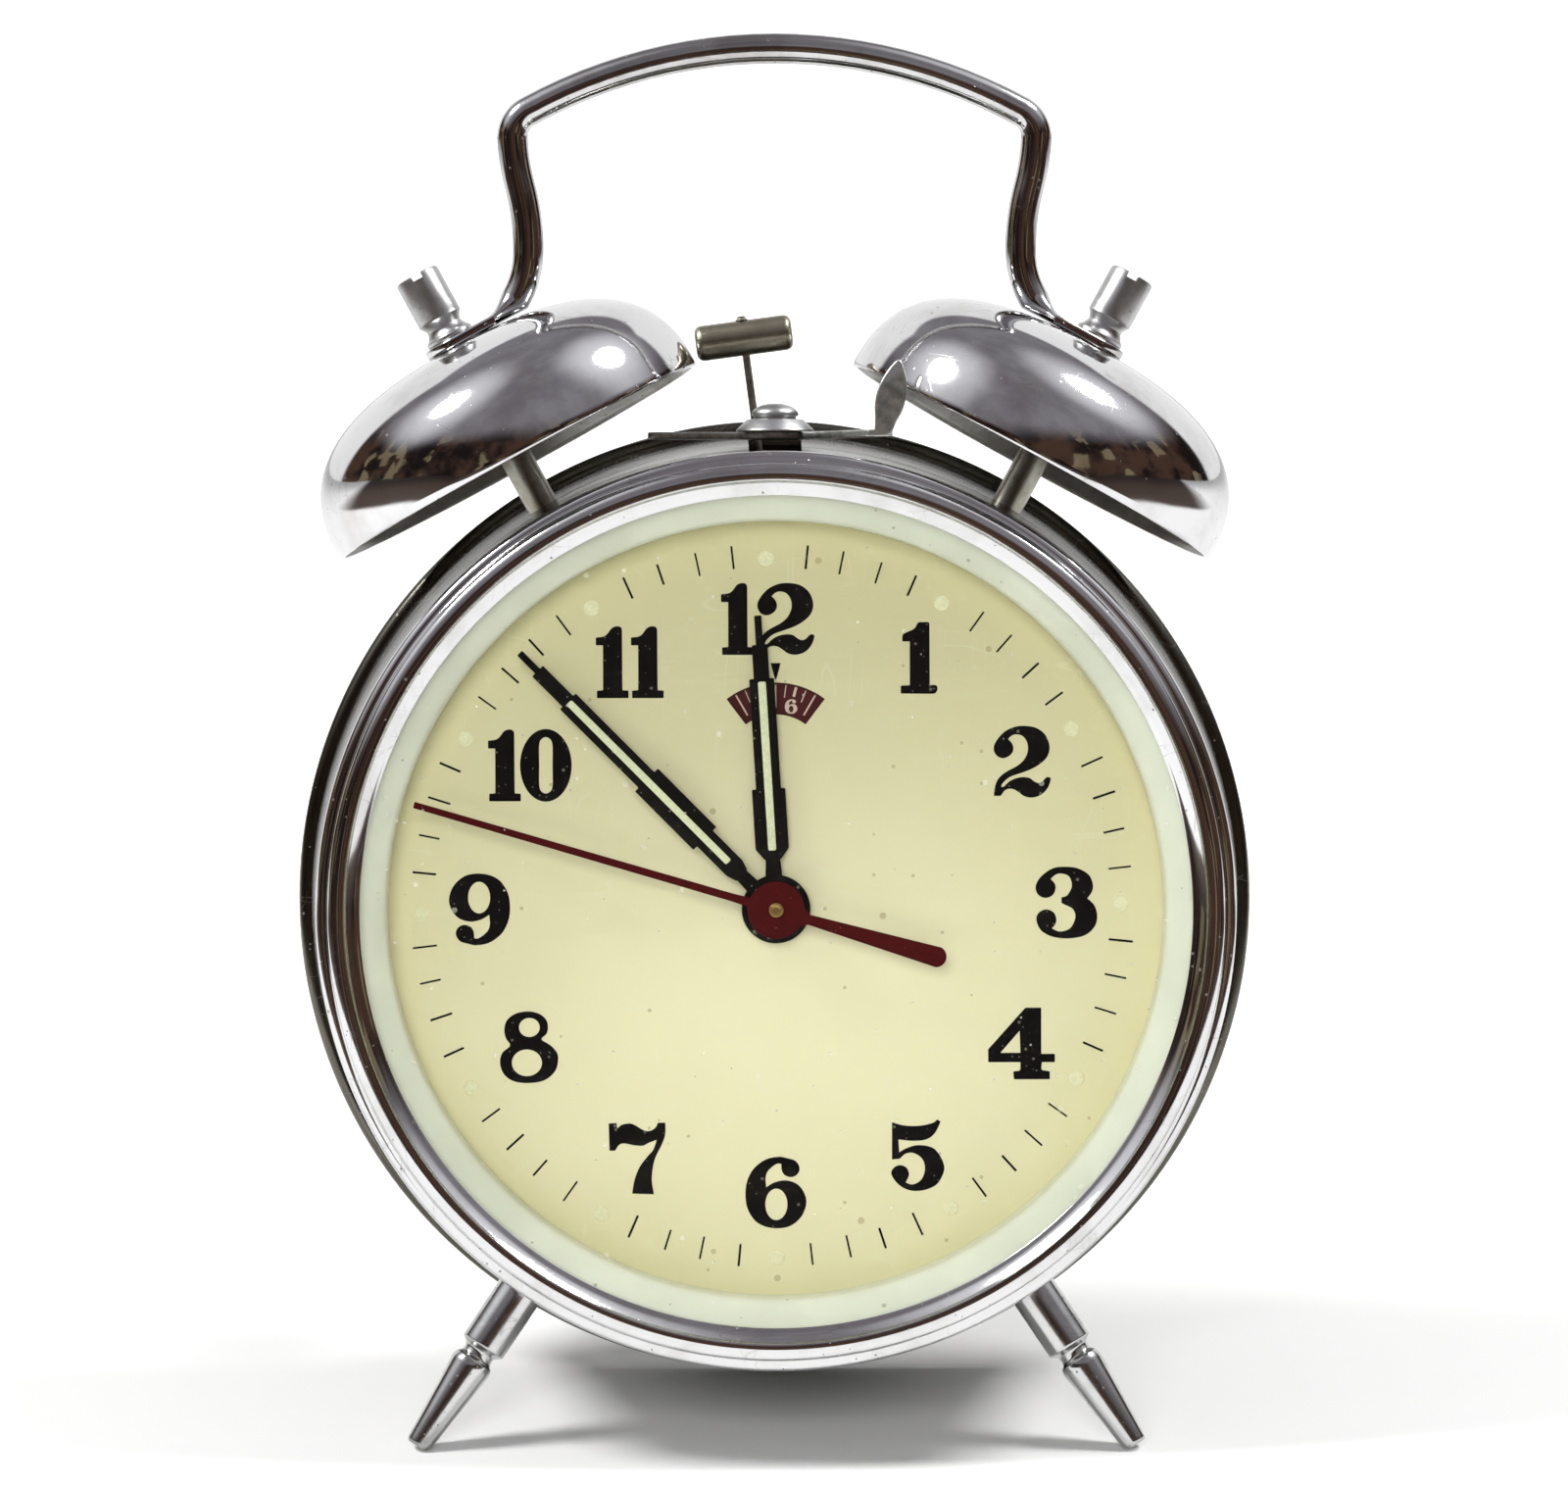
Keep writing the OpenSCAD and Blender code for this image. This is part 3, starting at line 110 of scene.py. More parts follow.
class Finish:
    """A material, or the world, as it is built up from nodes."""

    def __init__(self, owner):
        owner.use_nodes = True
        self.owner = owner
        self.tree = owner.node_tree
        self.tree.nodes.clear()

    def node(self, kind, settings, sockets, out=0):
        """Any node: first its settings, then the values or the links of its sockets."""
        node = self.tree.nodes.new(kind)
        for key, value in settings.items():
            setattr(node, key, value)
        for key, value in sockets.items():
            if isinstance(value, Wire):
                self.tree.links.new(value.socket, node.inputs[key])
            elif isinstance(value, tuple) and len(value) == 3 and node.inputs[key].type == "RGBA":
                node.inputs[key].default_value = (*value, 1)
            else:
                node.inputs[key].default_value = value
        return Wire(self, node.outputs[out]) if node.outputs else None

    def mix(self, amount, first, second):
        sockets = {0: amount, 6: first, 7: second}
        return self.node("ShaderNodeMix", {"data_type": "RGBA"}, sockets, out=2)

    def blend(self, amount, first, second):
        return self.node("ShaderNodeMixShader", {}, {0: amount, 1: first, 2: second})

    def xyz(self, place):
        """The three numbers of a place or a direction."""
        return [self.node("ShaderNodeSeparateXYZ", {}, {0: place}, out=i) for i in range(3)]

    def rays(self):
        """Whether the light comes straight to the camera, off something glossy, or through glass."""
        return [self.node("ShaderNodeLightPath", {}, {}, out=i) for i in (0, 3, 6)]

    def reach(self, scale=(1, 1, 1)):
        """The surface's place in the clock's own frame, in millimetres, stretched by scale."""
        place = self.node("ShaderNodeMapping", {}, {
            "Vector": self.node("ShaderNodeTexCoord", {}, {}, out=3),
            "Location": CLOCK.inverted().translation, "Rotation": (lean_back, 0, 0),
            "Scale": (1000, 1000, 1000)})
        return place if scale == (1, 1, 1) else self.node(
            "ShaderNodeVectorMath", {"operation": "MULTIPLY"}, {0: place, 1: scale})

    def from_axis(self):
        """How far the surface lies from the dial's axis, in millimetres."""
        return self.node("ShaderNodeVectorMath", {"operation": "LENGTH"}, {0: self.reach((1, 0, 1))}, out=1)

    def noise(self, size, detail=3.0, rough=0.55, stretch=(1, 1, 1)):
        """Cloudy variation from 0 to 1 whose patches are about size millimetres across."""
        return self.node("ShaderNodeTexNoise", {}, {
            "Vector": self.reach(stretch), "Scale": 1 / size, "Detail": detail, "Roughness": rough})

    def specks(self, size, share, seed=0.0):
        """1 on scattered round specks in cells of size millimetres, and 0 around them."""
        cells = {"Vector": self.reach((1, 1.01 + seed, 1)), "Scale": 1 / size}
        near = self.node("ShaderNodeTexVoronoi", {}, cells)
        pick = self.node("ShaderNodeTexVoronoi", {}, cells, out=1)
        red, green = [self.node("ShaderNodeSeparateColor", {}, {0: pick}, out=i) for i in (0, 1)]
        return (near < 0.10 + 0.14 * green) * (red < share)

    def scratches(self, size, seed=0.0):
        """Thin bent lines that lie at all angles, as wiping leaves them."""
        where = self.noise(size * 2.3, 2.0, 0.5, (1, 0.7 + seed, 1.3))
        lines = []
        for stretch in ((1.3 + seed, 0.9, 0.24), (0.22, 0.9, 1.2 + seed)):
            off_middle = self.noise(size, 1.0, 0.4, stretch) - 0.5
            lines.append(1 - (off_middle.sum("ABSOLUTE", off_middle) * 90).least(1))
        return lines[0].most(lines[1]) * where.ramp(0.52, 0.62)

    def clouded(self, cloud, first, second, marks, mark):
        """One colour that goes cloudily into another, with marks of a third colour on it."""
        return self.mix(marks, self.mix(cloud, first, second), mark)

    def surface(self, bump=None, depth=0.02, **sockets):
        """Ends the tree in one Principled shader. bump is a height from 0 to 1, depth in mm."""
        named = {key.replace("_", " "): value for key, value in sockets.items()}
        if bump is not None:
            named["Normal"] = self.node("ShaderNodeBump", {}, {
                "Height": bump, "Distance": depth * 0.001, "Strength": 1.0})
        shader = self.node("ShaderNodeBsdfPrincipled", {}, named)
        self.node("ShaderNodeOutputMaterial", {}, {0: shader})
        return self.owner


def finish(name):
    return Finish(bpy.data.materials.new(name))


def placed(name, data):
    """Sets a mesh, a curve, a lamp or a camera down in the scene."""
    made = bpy.data.objects.new(name, data)
    bpy.context.scene.collection.objects.link(made)
    return made


table = finish("white_table_top")
grain = table.noise(7.0, 4.0)
paper = table.mix(grain, (0.90, 0.90, 0.905), (0.925, 0.925, 0.925))
seen, mirrored_ray, passed = table.rays()
across, back, _ = table.xyz(table.node("ShaderNodeTexCoord", {}, {}, out=3))
at_the_sides = ((across ** 2) ** 0.5).ramp(0.37, 0.41) * (1 - back.ramp(0.10, 0.30))
wooden = at_the_sides.most((0 - back).ramp(0.50, 0.54))
wood = table.mix(grain, (0.03, 0.02, 0.015), (0.075, 0.05, 0.04))
clear_of_clock = (((across ** 2 + back ** 2) ** 0.5 - 0.035) * 1.2).most(0).least(1)
lit = clear_of_clock * seen.most(passed).most(mirrored_ray * (1 - wooden) * 0.35)
matt = table.node("ShaderNodeBsdfPrincipled", {}, {
    "Base Color": table.mix(mirrored_ray, paper, table.mix(wooden, (0.82, 0.82, 0.825), wood)),
    "Roughness": 0.7, "Specular IOR Level": 0.2,
    "Emission Color": table.mix(lit, (0, 0, 0), (1, 1, 1)), "Emission Strength": 1.0})
table.node("ShaderNodeOutputMaterial", {}, {0: matt})

rim_points, middle_r, rim_r = 64, 0.6, 3.0
disc = bmesh.new()
inner_ring, outer_ring = (
    [disc.verts.new((r * cos(2 * pi * i / rim_points), r * sin(2 * pi * i / rim_points), 0))
     for i in range(rim_points)] for r in (middle_r, rim_r))
disc.faces.new(inner_ring)
for i in range(rim_points):
    j = (i + 1) % rim_points
    disc.faces.new((inner_ring[i], inner_ring[j], outer_ring[j], outer_ring[i]))
table_mesh = bpy.data.meshes.new("table_top")
disc.to_mesh(table_mesh)
table_mesh.materials.append(table.owner)
placed("table_top", table_mesh)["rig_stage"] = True

world = bpy.data.worlds.new("room")
bpy.context.scene.world = world
room = Finish(world)
seen, mirrored_ray, passed = room.rays()
towards = room.node("ShaderNodeTexCoord", {}, {}, out=0)
_, back, upwards = room.xyz(towards)
cloud = room.node("ShaderNodeTexNoise", {}, {
    "Vector": towards, "Scale": 3.2, "Detail": 4.0, "Roughness": 0.6})
boards = room.mix(cloud.ramp(0.42, 0.6), (0.014, 0.010, 0.010), (0.075, 0.042, 0.03))
blocks = room.node("ShaderNodeTexVoronoi", {"distance": "CHEBYCHEV"}, {
    "Vector": towards, "Scale": 7.0}, out=1)
lighter = room.node("ShaderNodeSeparateColor", {}, {0: blocks}, out=0).ramp(0.80, 0.82)
dark_room = room.mix(lighter * 0.5, boards, (0.40, 0.33, 0.20))
ceiling = room.mix(cloud.ramp(0.3, 0.7), (0.19, 0.175, 0.193), (0.28, 0.267, 0.288))
walls = room.mix(upwards.ramp(0.30, 0.52), dark_room, ceiling)
lamp_ways = [(-0.656, -0.092, 0.749), (0.58, 0.075, 0.811)]
to_left, to_right = [room.node("ShaderNodeVectorMath", {"operation": "DOT_PRODUCT"}, {
    0: towards, 1: way}, out=1) for way in lamp_ways]
glow = to_left.ramp(0.80, 1.0).most(to_right.ramp(0.80, 1.0)) ** 1.6
glowing = room.mix(glow, walls, (0.86, 0.86, 0.90))
paper_sweep = back.ramp(0.56, 0.62) * (1 - upwards.ramp(0.60, 0.64))
mirrored, fill, white = [room.node("ShaderNodeBackground", {}, {"Color": colour, "Strength": strength})
                         for colour, strength in ((room.mix(paper_sweep, glowing, (1, 1, 1)), 1.0),
                                                  ((1, 1, 1), 0.12), ((1, 1, 1), 1.0))]
room.node("ShaderNodeOutputWorld", {}, {0: room.blend(
    seen.most(passed), room.blend(mirrored_ray, fill, mirrored), white)})


def lamp(name, place, aim, size, power, colour=(1, 1, 1)):
    light = bpy.data.lights.new(name, "AREA")
    light.shape = "DISK"
    light.size = size
    light.energy = power
    light.color = colour
    stand = placed(name, light)
    stand.location = place
    stand.rotation_euler = (Vector(aim) - Vector(place)).to_track_quat("-Z", "Y").to_euler()
    return stand


for name, way, away, size, power in (("left_lamp", lamp_ways[0], 0.98, 0.28, 8.5),
                                     ("right_lamp", lamp_ways[1], 1.10, 0.34, 10.0)):
    lamp(name, Vector((0, 0, 0.1)) + away * Vector(way), (0, 0, 0.08), size, power, (1, 0.995, 0.985))
lamp("front_lamp", (-0.15, -1.35, 0.60), (0, 0, 0.07), 0.8, 12.0).visible_glossy = False

lens = bpy.data.cameras.new("camera")
lens.sensor_width = 36
lens.lens = 142.3
lens.clip_start = 0.02
camera = placed("camera", lens)
camera.location = (-0.004, -0.7544, 0.2387)
camera.rotation_euler = Vector((0.0066, 0.9796, -0.2024)).to_track_quat("-Z", "Y").to_euler()
bpy.context.scene.camera = camera
bpy.context.scene.view_settings.view_transform = "Standard"


# ---------------- case drum
# The drum is a deep cup of thin steel, spun and chromium plated, with its rear edge rolled
# outwards into a bead. The hammer's arm comes out through the slot in its top.
def arc(middle, wide, start, end, steps, high=None):
    """Points of an arc, or of part of an ellipse, from one angle in degrees to another."""
    ways = [radians(start + (end - start) * i / steps) for i in range(steps + 1)]
    return [(middle[0] + wide * cos(way), middle[1] + (high or wide) * sin(way)) for way in ways]


def eased(points, radius, steps=4, closed=True):
    """The same outline with its corners rounded; a point may carry its own radius."""
    count = len(points)
    outline = []
    for i, point in enumerate(points):
        here = Vector(point[:2])
        size = point[2] if len(point) > 2 else radius
        if size <= 0 or (not closed and i in (0, count - 1)):
            outline.append(tuple(here))
            continue
        before = Vector(points[i - 1][:2]) - here
        after = Vector(points[(i + 1) % count][:2]) - here
        reach = min(size, 0.48 * before.length, 0.48 * after.length)
        a, b = here + before.normalized() * reach, here + after.normalized() * reach
        for k in range(steps + 1):
            t = k / steps
            outline.append(tuple((1 - t) ** 2 * a + 2 * t * (1 - t) * here + t * t * b))
    return outline


def lathe(profile, steps=160, closed=False, angles=None):
    """Turns (radius, height) points about the Z axis, in millimetres."""
    work = bmesh.new()
    angles = angles or [2 * pi * i / steps for i in range(steps)]
    rings = []
    for r, h in profile:
        rings.append([work.verts.new((0, 0, h))] if r < 1e-6 else
                     [work.verts.new((r * cos(a), r * sin(a), h)) for a in angles])
    for lower, upper in zip(rings, rings[1:] + ([rings[0]] if closed else [])):
        size = max(len(lower), len(upper))
        for i in range(size if size > 1 else 0):
            j = i + 1
            corners = (lower[i % len(lower)], lower[j % len(lower)],
                       upper[j % len(upper)], upper[i % len(upper)])
            work.faces.new(list(dict.fromkeys(corners)))
    bmesh.ops.recalc_face_normals(work, faces=work.faces)
    return work


def piece(name, work, material, body, slot, *nodes, at=None, sharp=32, lining=None):
    """Puts a mesh made in millimetres on the clock, with its finish, its body and its CAD nodes."""
    work.transform(CLOCK @ at if at is not None else CLOCK)
    bmesh.ops.recalc_face_normals(work, faces=work.faces)
    mesh = bpy.data.meshes.new(name)
    work.to_mesh(mesh)
    work.free()
    mesh.shade_smooth()
    mesh.set_sharp_from_angle(angle=radians(sharp))
    mesh.materials.append(material)
    if lining:
        mesh.materials.append(lining)
    made = placed(name, mesh)
    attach(made, body)
    if nodes:
        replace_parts(made, *nodes)
    return made


def chromium(name, tint, worn, rough, wave=0.5, stretch=(1, 1, 1), pitted=0.08):
    """Old bright plating: faint clouding, fine scratches, small pits and slight waviness."""
    plating = finish(name)
    cloud = plating.noise(9.0, 5.0, 0.6, stretch)
    fine = plating.noise(0.7, 3.0, 0.6, stretch)
    pits = plating.specks(0.8, pitted)
    lines = plating.scratches(3.0)
    soft = plating.noise(5.0, 1.0, 0.4, stretch)
    marks = (pits * 0.8).most(lines * 0.35)
    return plating.surface(
        Base_Color=plating.clouded(cloud.ramp(0.45, 0.7), tint, worn, marks, (0.30, 0.28, 0.26)),
        Metallic=1.0,
        Roughness=rough + cloud.ramp(0.4, 0.75) * rough * 0.7 + fine * 0.03 + lines * 0.12 + pits * 0.3,
        bump=soft * wave + fine * 0.02 - pits * 0.25 - lines * 0.04, depth=0.03)


case_chrome = chromium("case_chromium", (0.69, 0.69, 0.695), (0.59, 0.59, 0.58), 0.06)
# Painted shade and painted reflection: the drum's plating is coloured far darker and more olive than the
# bezel's, standing in for the dim brown room that it mirrors.
drum_chrome_painted_dark = chromium("drum_chromium_painted_dark", (0.145, 0.14, 0.115), (0.085, 0.08, 0.066), 0.16, 0.35,
                       (0.35, 2.4, 0.35))
drum_r, drum_front, flare, wall = 55.4, 2.5, 0.1, 0.7


def down_side(depths, inwards=0.0):
    """Points along the drum's side, which widens a little towards the back."""
    return [(drum_r - inwards + flare * (y - drum_front), y) for y in depths]


side_depths = [6, 9, 12, 15, 18.5, 22, 25, 28, 31, 34]
drum_profile = (
    [(drum_r - wall, drum_front), (drum_r, drum_front)] + down_side([3.2] + side_depths + [36.6]) +
    [(58.75, 38.0), (58.87, 38.45)] + arc((59.35, 39.8), 1.27, -100, 100, 20) +
    [(58.4, 41.0), (58.2, 39.9), (58.2, 38.8), (58.05, 38.2), (57.9 - wall * 0.6, 37.2)] +
    down_side(reversed(side_depths), wall))
slot_half_width, slot_r, slot_start, slot_end = 3.25, 56.5, 9, 28
slot_half = asin(slot_half_width / slot_r)
slot_sides = [pi / 2 - slot_half, pi / 2 + slot_half]
drum_steps = 216
drum_angles = sorted(slot_sides + [a for a in (2 * pi * i / drum_steps for i in range(drum_steps))
                                   if min(abs(a - s) for s in slot_sides) > pi / drum_steps])
drum = lathe(drum_profile, closed=True, angles=drum_angles)
slot_faces = []
for face in drum.faces:
    middle = face.calc_center_median()
    if abs(atan2(middle.x, middle.y)) < slot_half and middle.y > 0 and slot_start < middle.z < slot_end:
        slot_faces.append(face)
bmesh.ops.delete(drum, geom=slot_faces, context="FACES")
bmesh.ops.bridge_loops(drum, edges=[e for e in drum.edges if e.is_boundary])
piece("drum", drum, drum_chrome_painted_dark, "root", "chrome_case", "case_drum", at=FACING)


# ---------------- bezel
# A ring of thin brass rolled to a bright bead at the glass, with a hollow slope down to it and a
# stepped skirt that snaps over the drum. It is plated like the case.
slope = [(50.85 + 1.38 * t, -0.18 - 1.14 * t ** 1.25) for t in (0.0, 0.2, 0.4, 0.6, 0.8, 1.0)]
crest_middle, crest_width, crest_height = (52.86, -0.4), 1.54, 1.1
bezel_profile = (
    [(50.5, 0.3), (50.5, -0.02), (50.62, -0.12)] + slope +
    arc(crest_middle, crest_width, 248, 360, 28, crest_height) +
    [(54.42, 0.12), (54.5, 0.3), (54.68, 0.42)] + arc((54.85, 1.45), 1.05, -80, 0, 12) +
    [(55.92, 4.45), (55.87, 4.58), (55.74, 4.6), (55.68, 4.5), (55.55, 1.9), (52.6, 0.7), (52.6, 0.3)])
piece("bezel_ring", lathe(bezel_profile, 288, closed=True), case_chrome, "root", "chrome_case", "bezel",
      at=FACING, sharp=40)


# ---------------- glass
# A flat disc of clear glass with a ground edge, held behind the bezel. A little dust lies on it.
glass = finish("dusty_glass")
skin = glass.node("ShaderNodeBsdfPrincipled", {}, {
    "Base Color": (0.9, 0.92, 0.9), "Roughness": 0.02, "Metallic": 1.0})
dust = glass.specks(1.1, 0.035, 0.3).most(glass.specks(2.3, 0.03, 0.7) * 0.6)
motes = glass.node("ShaderNodeBsdfPrincipled", {}, {"Base Color": (0.80, 0.77, 0.66), "Roughness": 0.9})
clear = glass.node("ShaderNodeBsdfTransparent", {}, {"Color": (0.99, 1.0, 0.99)})
shine = glass.node("ShaderNodeFresnel", {}, {"IOR": 1.45}) * 0.55
glass.node("ShaderNodeOutputMaterial", {}, {0: glass.blend(
    dust * 0.5, glass.blend(shine, clear, skin), motes)})
pane = lathe(eased([(0, 0.3), (52.5, 0.3), (52.5, 1.9), (0, 1.9)], 0.25, closed=False), 192)
piece("glass_pane", pane, glass.owner, "root", "glass", "glass", at=FACING)


# ---------------- ring around the dial
# A deep ring of pressed sheet in pale grey-green enamel. It slopes from the glass to the dial.
ring_paint = finish("pale_ring_enamel")
shade = ring_paint.noise(14.0, 4.0)
grime = ring_paint.specks(1.3, 0.05).most(ring_paint.noise(2.4, 5.0, 0.7).ramp(0.66, 0.75) * 0.35)
ring_enamel = ring_paint.surface(
    Base_Color=ring_paint.clouded(
        shade.ramp(0.3, 0.7), (0.70, 0.71, 0.61), (0.79, 0.80, 0.70), grime * 0.6, (0.30, 0.27, 0.18)),
    Roughness=0.42 + shade * 0.2, Specular_IOR_Level=0.35, bump=ring_paint.noise(0.5, 2.0), depth=0.01)
dial_front = 9.5
ring_profile = eased([(50.6, 1.9), (55.2, 1.9), (55.2, 2.5), (50.8, 2.5, 0.6), (48.1, 4.4, 0.5),
                      (48.1, dial_front, 0.1), (47.5, dial_front, 0.1), (47.5, 4.2, 0.7)], 0.25)
piece("dial_surround", lathe(ring_profile, 256, closed=True), ring_enamel, "root", "dial_ring_paint",
      "dial_ring", at=FACING)


# ---------------- dial
# A thin aluminium disc in cream lacquer, with painted shade that darkens it towards its edge and its top, and
# painted light that brightens it low down. The hours and minutes are printed on it in black, and twelve dots
# of pale luminous paint mark the hours.
def mesh_of(made):
    """The mesh that a curve, or an object with a modifier on it, comes out as."""
    bpy.context.view_layer.update()
    shown = made.evaluated_get(bpy.context.evaluated_depsgraph_get())
    work = bmesh.new()
    work.from_mesh(bpy.data.meshes.new_from_object(shown))
    bpy.data.objects.remove(made)
    return work


def sheet(loops, thickness, edge=0.05, rings=2):
    """Cuts a flat plate with softened edges from closed outlines; inner ones become holes."""
    cut = bpy.data.curves.new("cut", "CURVE")
    cut.dimensions = "2D"
    cut.fill_mode = "BOTH"
    cut.extrude = thickness / 2 - edge
    cut.bevel_depth = edge
    cut.bevel_resolution = rings
    cut.offset = -edge
    for loop in loops:
        line = cut.splines.new("POLY")
        line.points.add(len(loop) - 1)
        for point, place in zip(line.points, loop):
            point.co = (place[0], place[1], 0, 1)
        line.use_cyclic_u = True
    work = mesh_of(placed("cut", cut))
    bmesh.ops.remove_doubles(work, verts=work.verts, dist=1e-5)
    return work


def circle(wide, x=0.0, y=0.0, steps=96, high=None):
    """A closed circle, or an ellipse."""
    return arc((x, y), wide, 0, 360, steps, high)[:-1]


def layer(y, x=0.0, z=0.0):
    """Where a plate stands whose middle is y millimetres behind the glass's front."""
    return Matrix.Translation((x, y, z)) @ FACING


def stroke(turn, near, far, half, across=0.0, up=0.0):
    """A short printed line that points at the middle, turned clockwise from the top."""
    return [(r * sin(turn) + s * half * cos(turn) + across, r * cos(turn) - s * half * sin(turn) + up)
            for r, s in ((near, -1), (near, 1), (far, 1), (far, -1))]


def gathered(parts):
    """One mesh of several parts, each moved to its own place."""
    whole = bmesh.new()
    for part, where in parts:
        part.transform(where)
        spare = bpy.data.meshes.new("part")
        part.to_mesh(spare)
        part.free()
        whole.from_mesh(spare)
        bpy.data.meshes.remove(spare)
    return whole


lacquer = finish("cream_lacquer")
patch = lacquer.noise(24.0, 4.0)
faint = lacquer.noise(1.6, 4.0, 0.65)
edge_r = 48.0
# Painted shade: the lacquer darkens towards the dial's edge, where the ring and bezel shade it, mixed below
# with random patches of tone.
painted_edge_shade = (lacquer.from_axis() / edge_r) ** 1.8
height = lacquer.xyz(lacquer.reach())[2]
# Painted shade and painted light: the lacquer goes from lighter low on the dial to darker at its top, where
# the bezel shades it.
cream = lacquer.mix(height.ramp(-25, 45), (0.94, 0.88, 0.61), (0.66, 0.61, 0.375))
cream = lacquer.mix((painted_edge_shade * 0.6 + (patch - 0.5) * 0.5).least(1).most(0), cream, (0.65, 0.595, 0.35))
cream = lacquer.mix(faint.ramp(0.55, 0.8) * 0.25, cream, (0.80, 0.80, 0.62))
cream = lacquer.mix(lacquer.scratches(5.0, 0.4) * 0.25, cream, (0.85, 0.84, 0.70))
stains = lacquer.specks(2.6, 0.05, 0.2).most(lacquer.specks(1.2, 0.02, 0.6))
dial_lacquer = lacquer.surface(
    Base_Color=lacquer.mix(stains * 0.5, cream, (0.36, 0.27, 0.12)),
    Roughness=0.40 + patch * 0.15, Specular_IOR_Level=0.4, bump=faint * 0.6 + stains * 0.4, depth=0.012)

dial_gauge, window_middle = 0.6, 17.7
window = [point for r, start, end in ((10.0, 127, 53), (6.1, 53, 127))
          for point in arc((0, window_middle), r, start, end, 37)]
piece("dial_disc", sheet([circle(51.0, steps=192), circle(2.25), window], dial_gauge, 0.08), dial_lacquer,
      "root", "dial_paint", "dial_plate", at=layer(dial_front + dial_gauge / 2))


def flowing(points):
    """A smooth closed outline through the points, with a corner where a point has a third number."""
    kept = [tuple(point[:2]) for point in points]
    corner = {tuple(point[:2]) for point in points if len(point) > 2}
    outline = []
    for i, here in enumerate(kept):
        after = kept[(i + 1) % len(kept)]
        before = here if here in corner else kept[i - 1]
        beyond = after if after in corner else kept[(i + 2) % len(kept)]
        span = sqrt((after[0] - here[0]) ** 2 + (after[1] - here[1]) ** 2)
        steps = 1 if here in corner and after in corner else max(2, min(8, ceil(span / 3.5)))
        for k in range(steps):
            t = k / steps
            outline.append(tuple(0.5 * (
                2 * h + (a - b) * t + (2 * b - 5 * h + 4 * a - e) * t * t + (3 * h - b - 3 * a + e) * t ** 3)
                for b, h, a, e in zip(before, here, after, beyond)))
    return outline


# The figures' outlines are 100 high, and each is drawn from its lower left corner.
one = eased([(0, 0.5), (0, 11.5), (12.6, 12), (12.6, 73), (2.2, 73), (2.2, 83, 4), (20, 91, 12), (24, 100, 3),
             (40, 100, 3), (40.4, 12.5), (52, 12.3, 6), (50, 0, 6)], 1.2)
slim_one = eased([(0, 0), (0, 10.5), (8.5, 11), (8.5, 73.5), (-1.5, 73.5), (-1.5, 84.5), (12, 85.5, 12),
                  (22, 100, 6), (35, 100, 6), (35.5, 11), (44, 10.5), (44, 0)], 1.2)
two = flowing([
    (0, 67.8), (3.5, 78.8), (14.5, 91.4), (28.6, 98.4), (43.5, 100), (60, 96.9), (72.5, 86.7), (78, 71),
    (74.9, 57.6), (66.3, 48.2), (53.7, 40.4), (39.6, 34.9), (23.9, 29.4), (16, 23.9), (11.4, 18.4),
    (10.6, 15.3, 0), (14, 15.3), (21.6, 22.4), (30.2, 26.7), (40.4, 28.6), (49.8, 27.5), (56.9, 22.4),
    (62.4, 20.4), (67.8, 22.4), (72.5, 27.5), (76, 28.6), (79.6, 26.7), (77.6, 18.4), (73.3, 10.6),
    (65.5, 3.5), (53.7, 0), (42.7, 2), (34.9, 7.5), (28.6, 11.4), (22.4, 12.5), (16, 10.6), (12.2, 5.9),
    (9.8, 2.4, 0), (0.4, 2.4, 0), (0.8, 9.8), (3.5, 20.8), (9, 29.4), (18.4, 36.5), (30.2, 42.7),
    (38.8, 49), (44.3, 56), (47.5, 64.7), (47.5, 73.3), (45, 80.4), (39.6, 86.3), (31.8, 88.2),
    (25.5, 86.7), (20, 81.6, 0), (25.5, 75.7), (27.5, 67.8), (23.9, 60), (13.7, 54.9), (4.3, 58.4)])
three = flowing([
    (0, 70.5), (4, 82), (14, 92), (26, 98.5), (40, 100), (58, 98), (74, 89), (80, 75), (78, 64),
    (72, 56, 0), (82, 46), (86, 31), (82, 16), (68, 4), (44, 0), (22, 3), (7, 12), (1, 26.6), (4.5, 36),
    (15, 40.6), (25.5, 36), (29, 26.6), (27, 19), (22.6, 14.3, 0), (30, 10.5), (37.6, 10), (49, 15),
    (55.5, 29.5), (52, 41), (41, 47), (36, 49.7, 0), (36, 57.5, 0), (44, 60), (50.6, 73), (47, 86),
    (36.5, 90.6), (28, 89), (21, 83, 0), (26.5, 77), (28, 70.5), (24, 60.6), (14, 56.5), (4, 60.6)])
four = [eased([(52, 100), (74, 100), (74, 35.5), (93, 35.5), (93, 24), (75, 24), (74, 13, 3), (86, 11),
               (86, 0), (36, 0), (35, 11), (45, 12, 3), (45, 24), (0, 24), (0, 42)], 1.0),
        eased([(44, 68), (45, 37), (17, 37)], 1.0)]
five = flowing([
    (1, 96, 0), (18, 91.5), (39, 91), (58, 95), (64, 100, 0), (69, 97, 0), (61, 81), (49, 72), (30, 70),
    (10, 72, 0), (11, 54, 0), (22, 60), (39, 64), (61, 58), (74, 34), (66, 12), (52, 3), (36, 0), (22, 2),
    (9, 10), (0, 23.6), (3.5, 32.5), (12.4, 36), (21.3, 32.5), (24.8, 23.6), (22, 15.5), (20, 12, 0),
    (30, 9), (42, 16), (47, 31), (43, 45), (31, 53), (20, 52), (12, 45, 0), (1, 44, 0)])
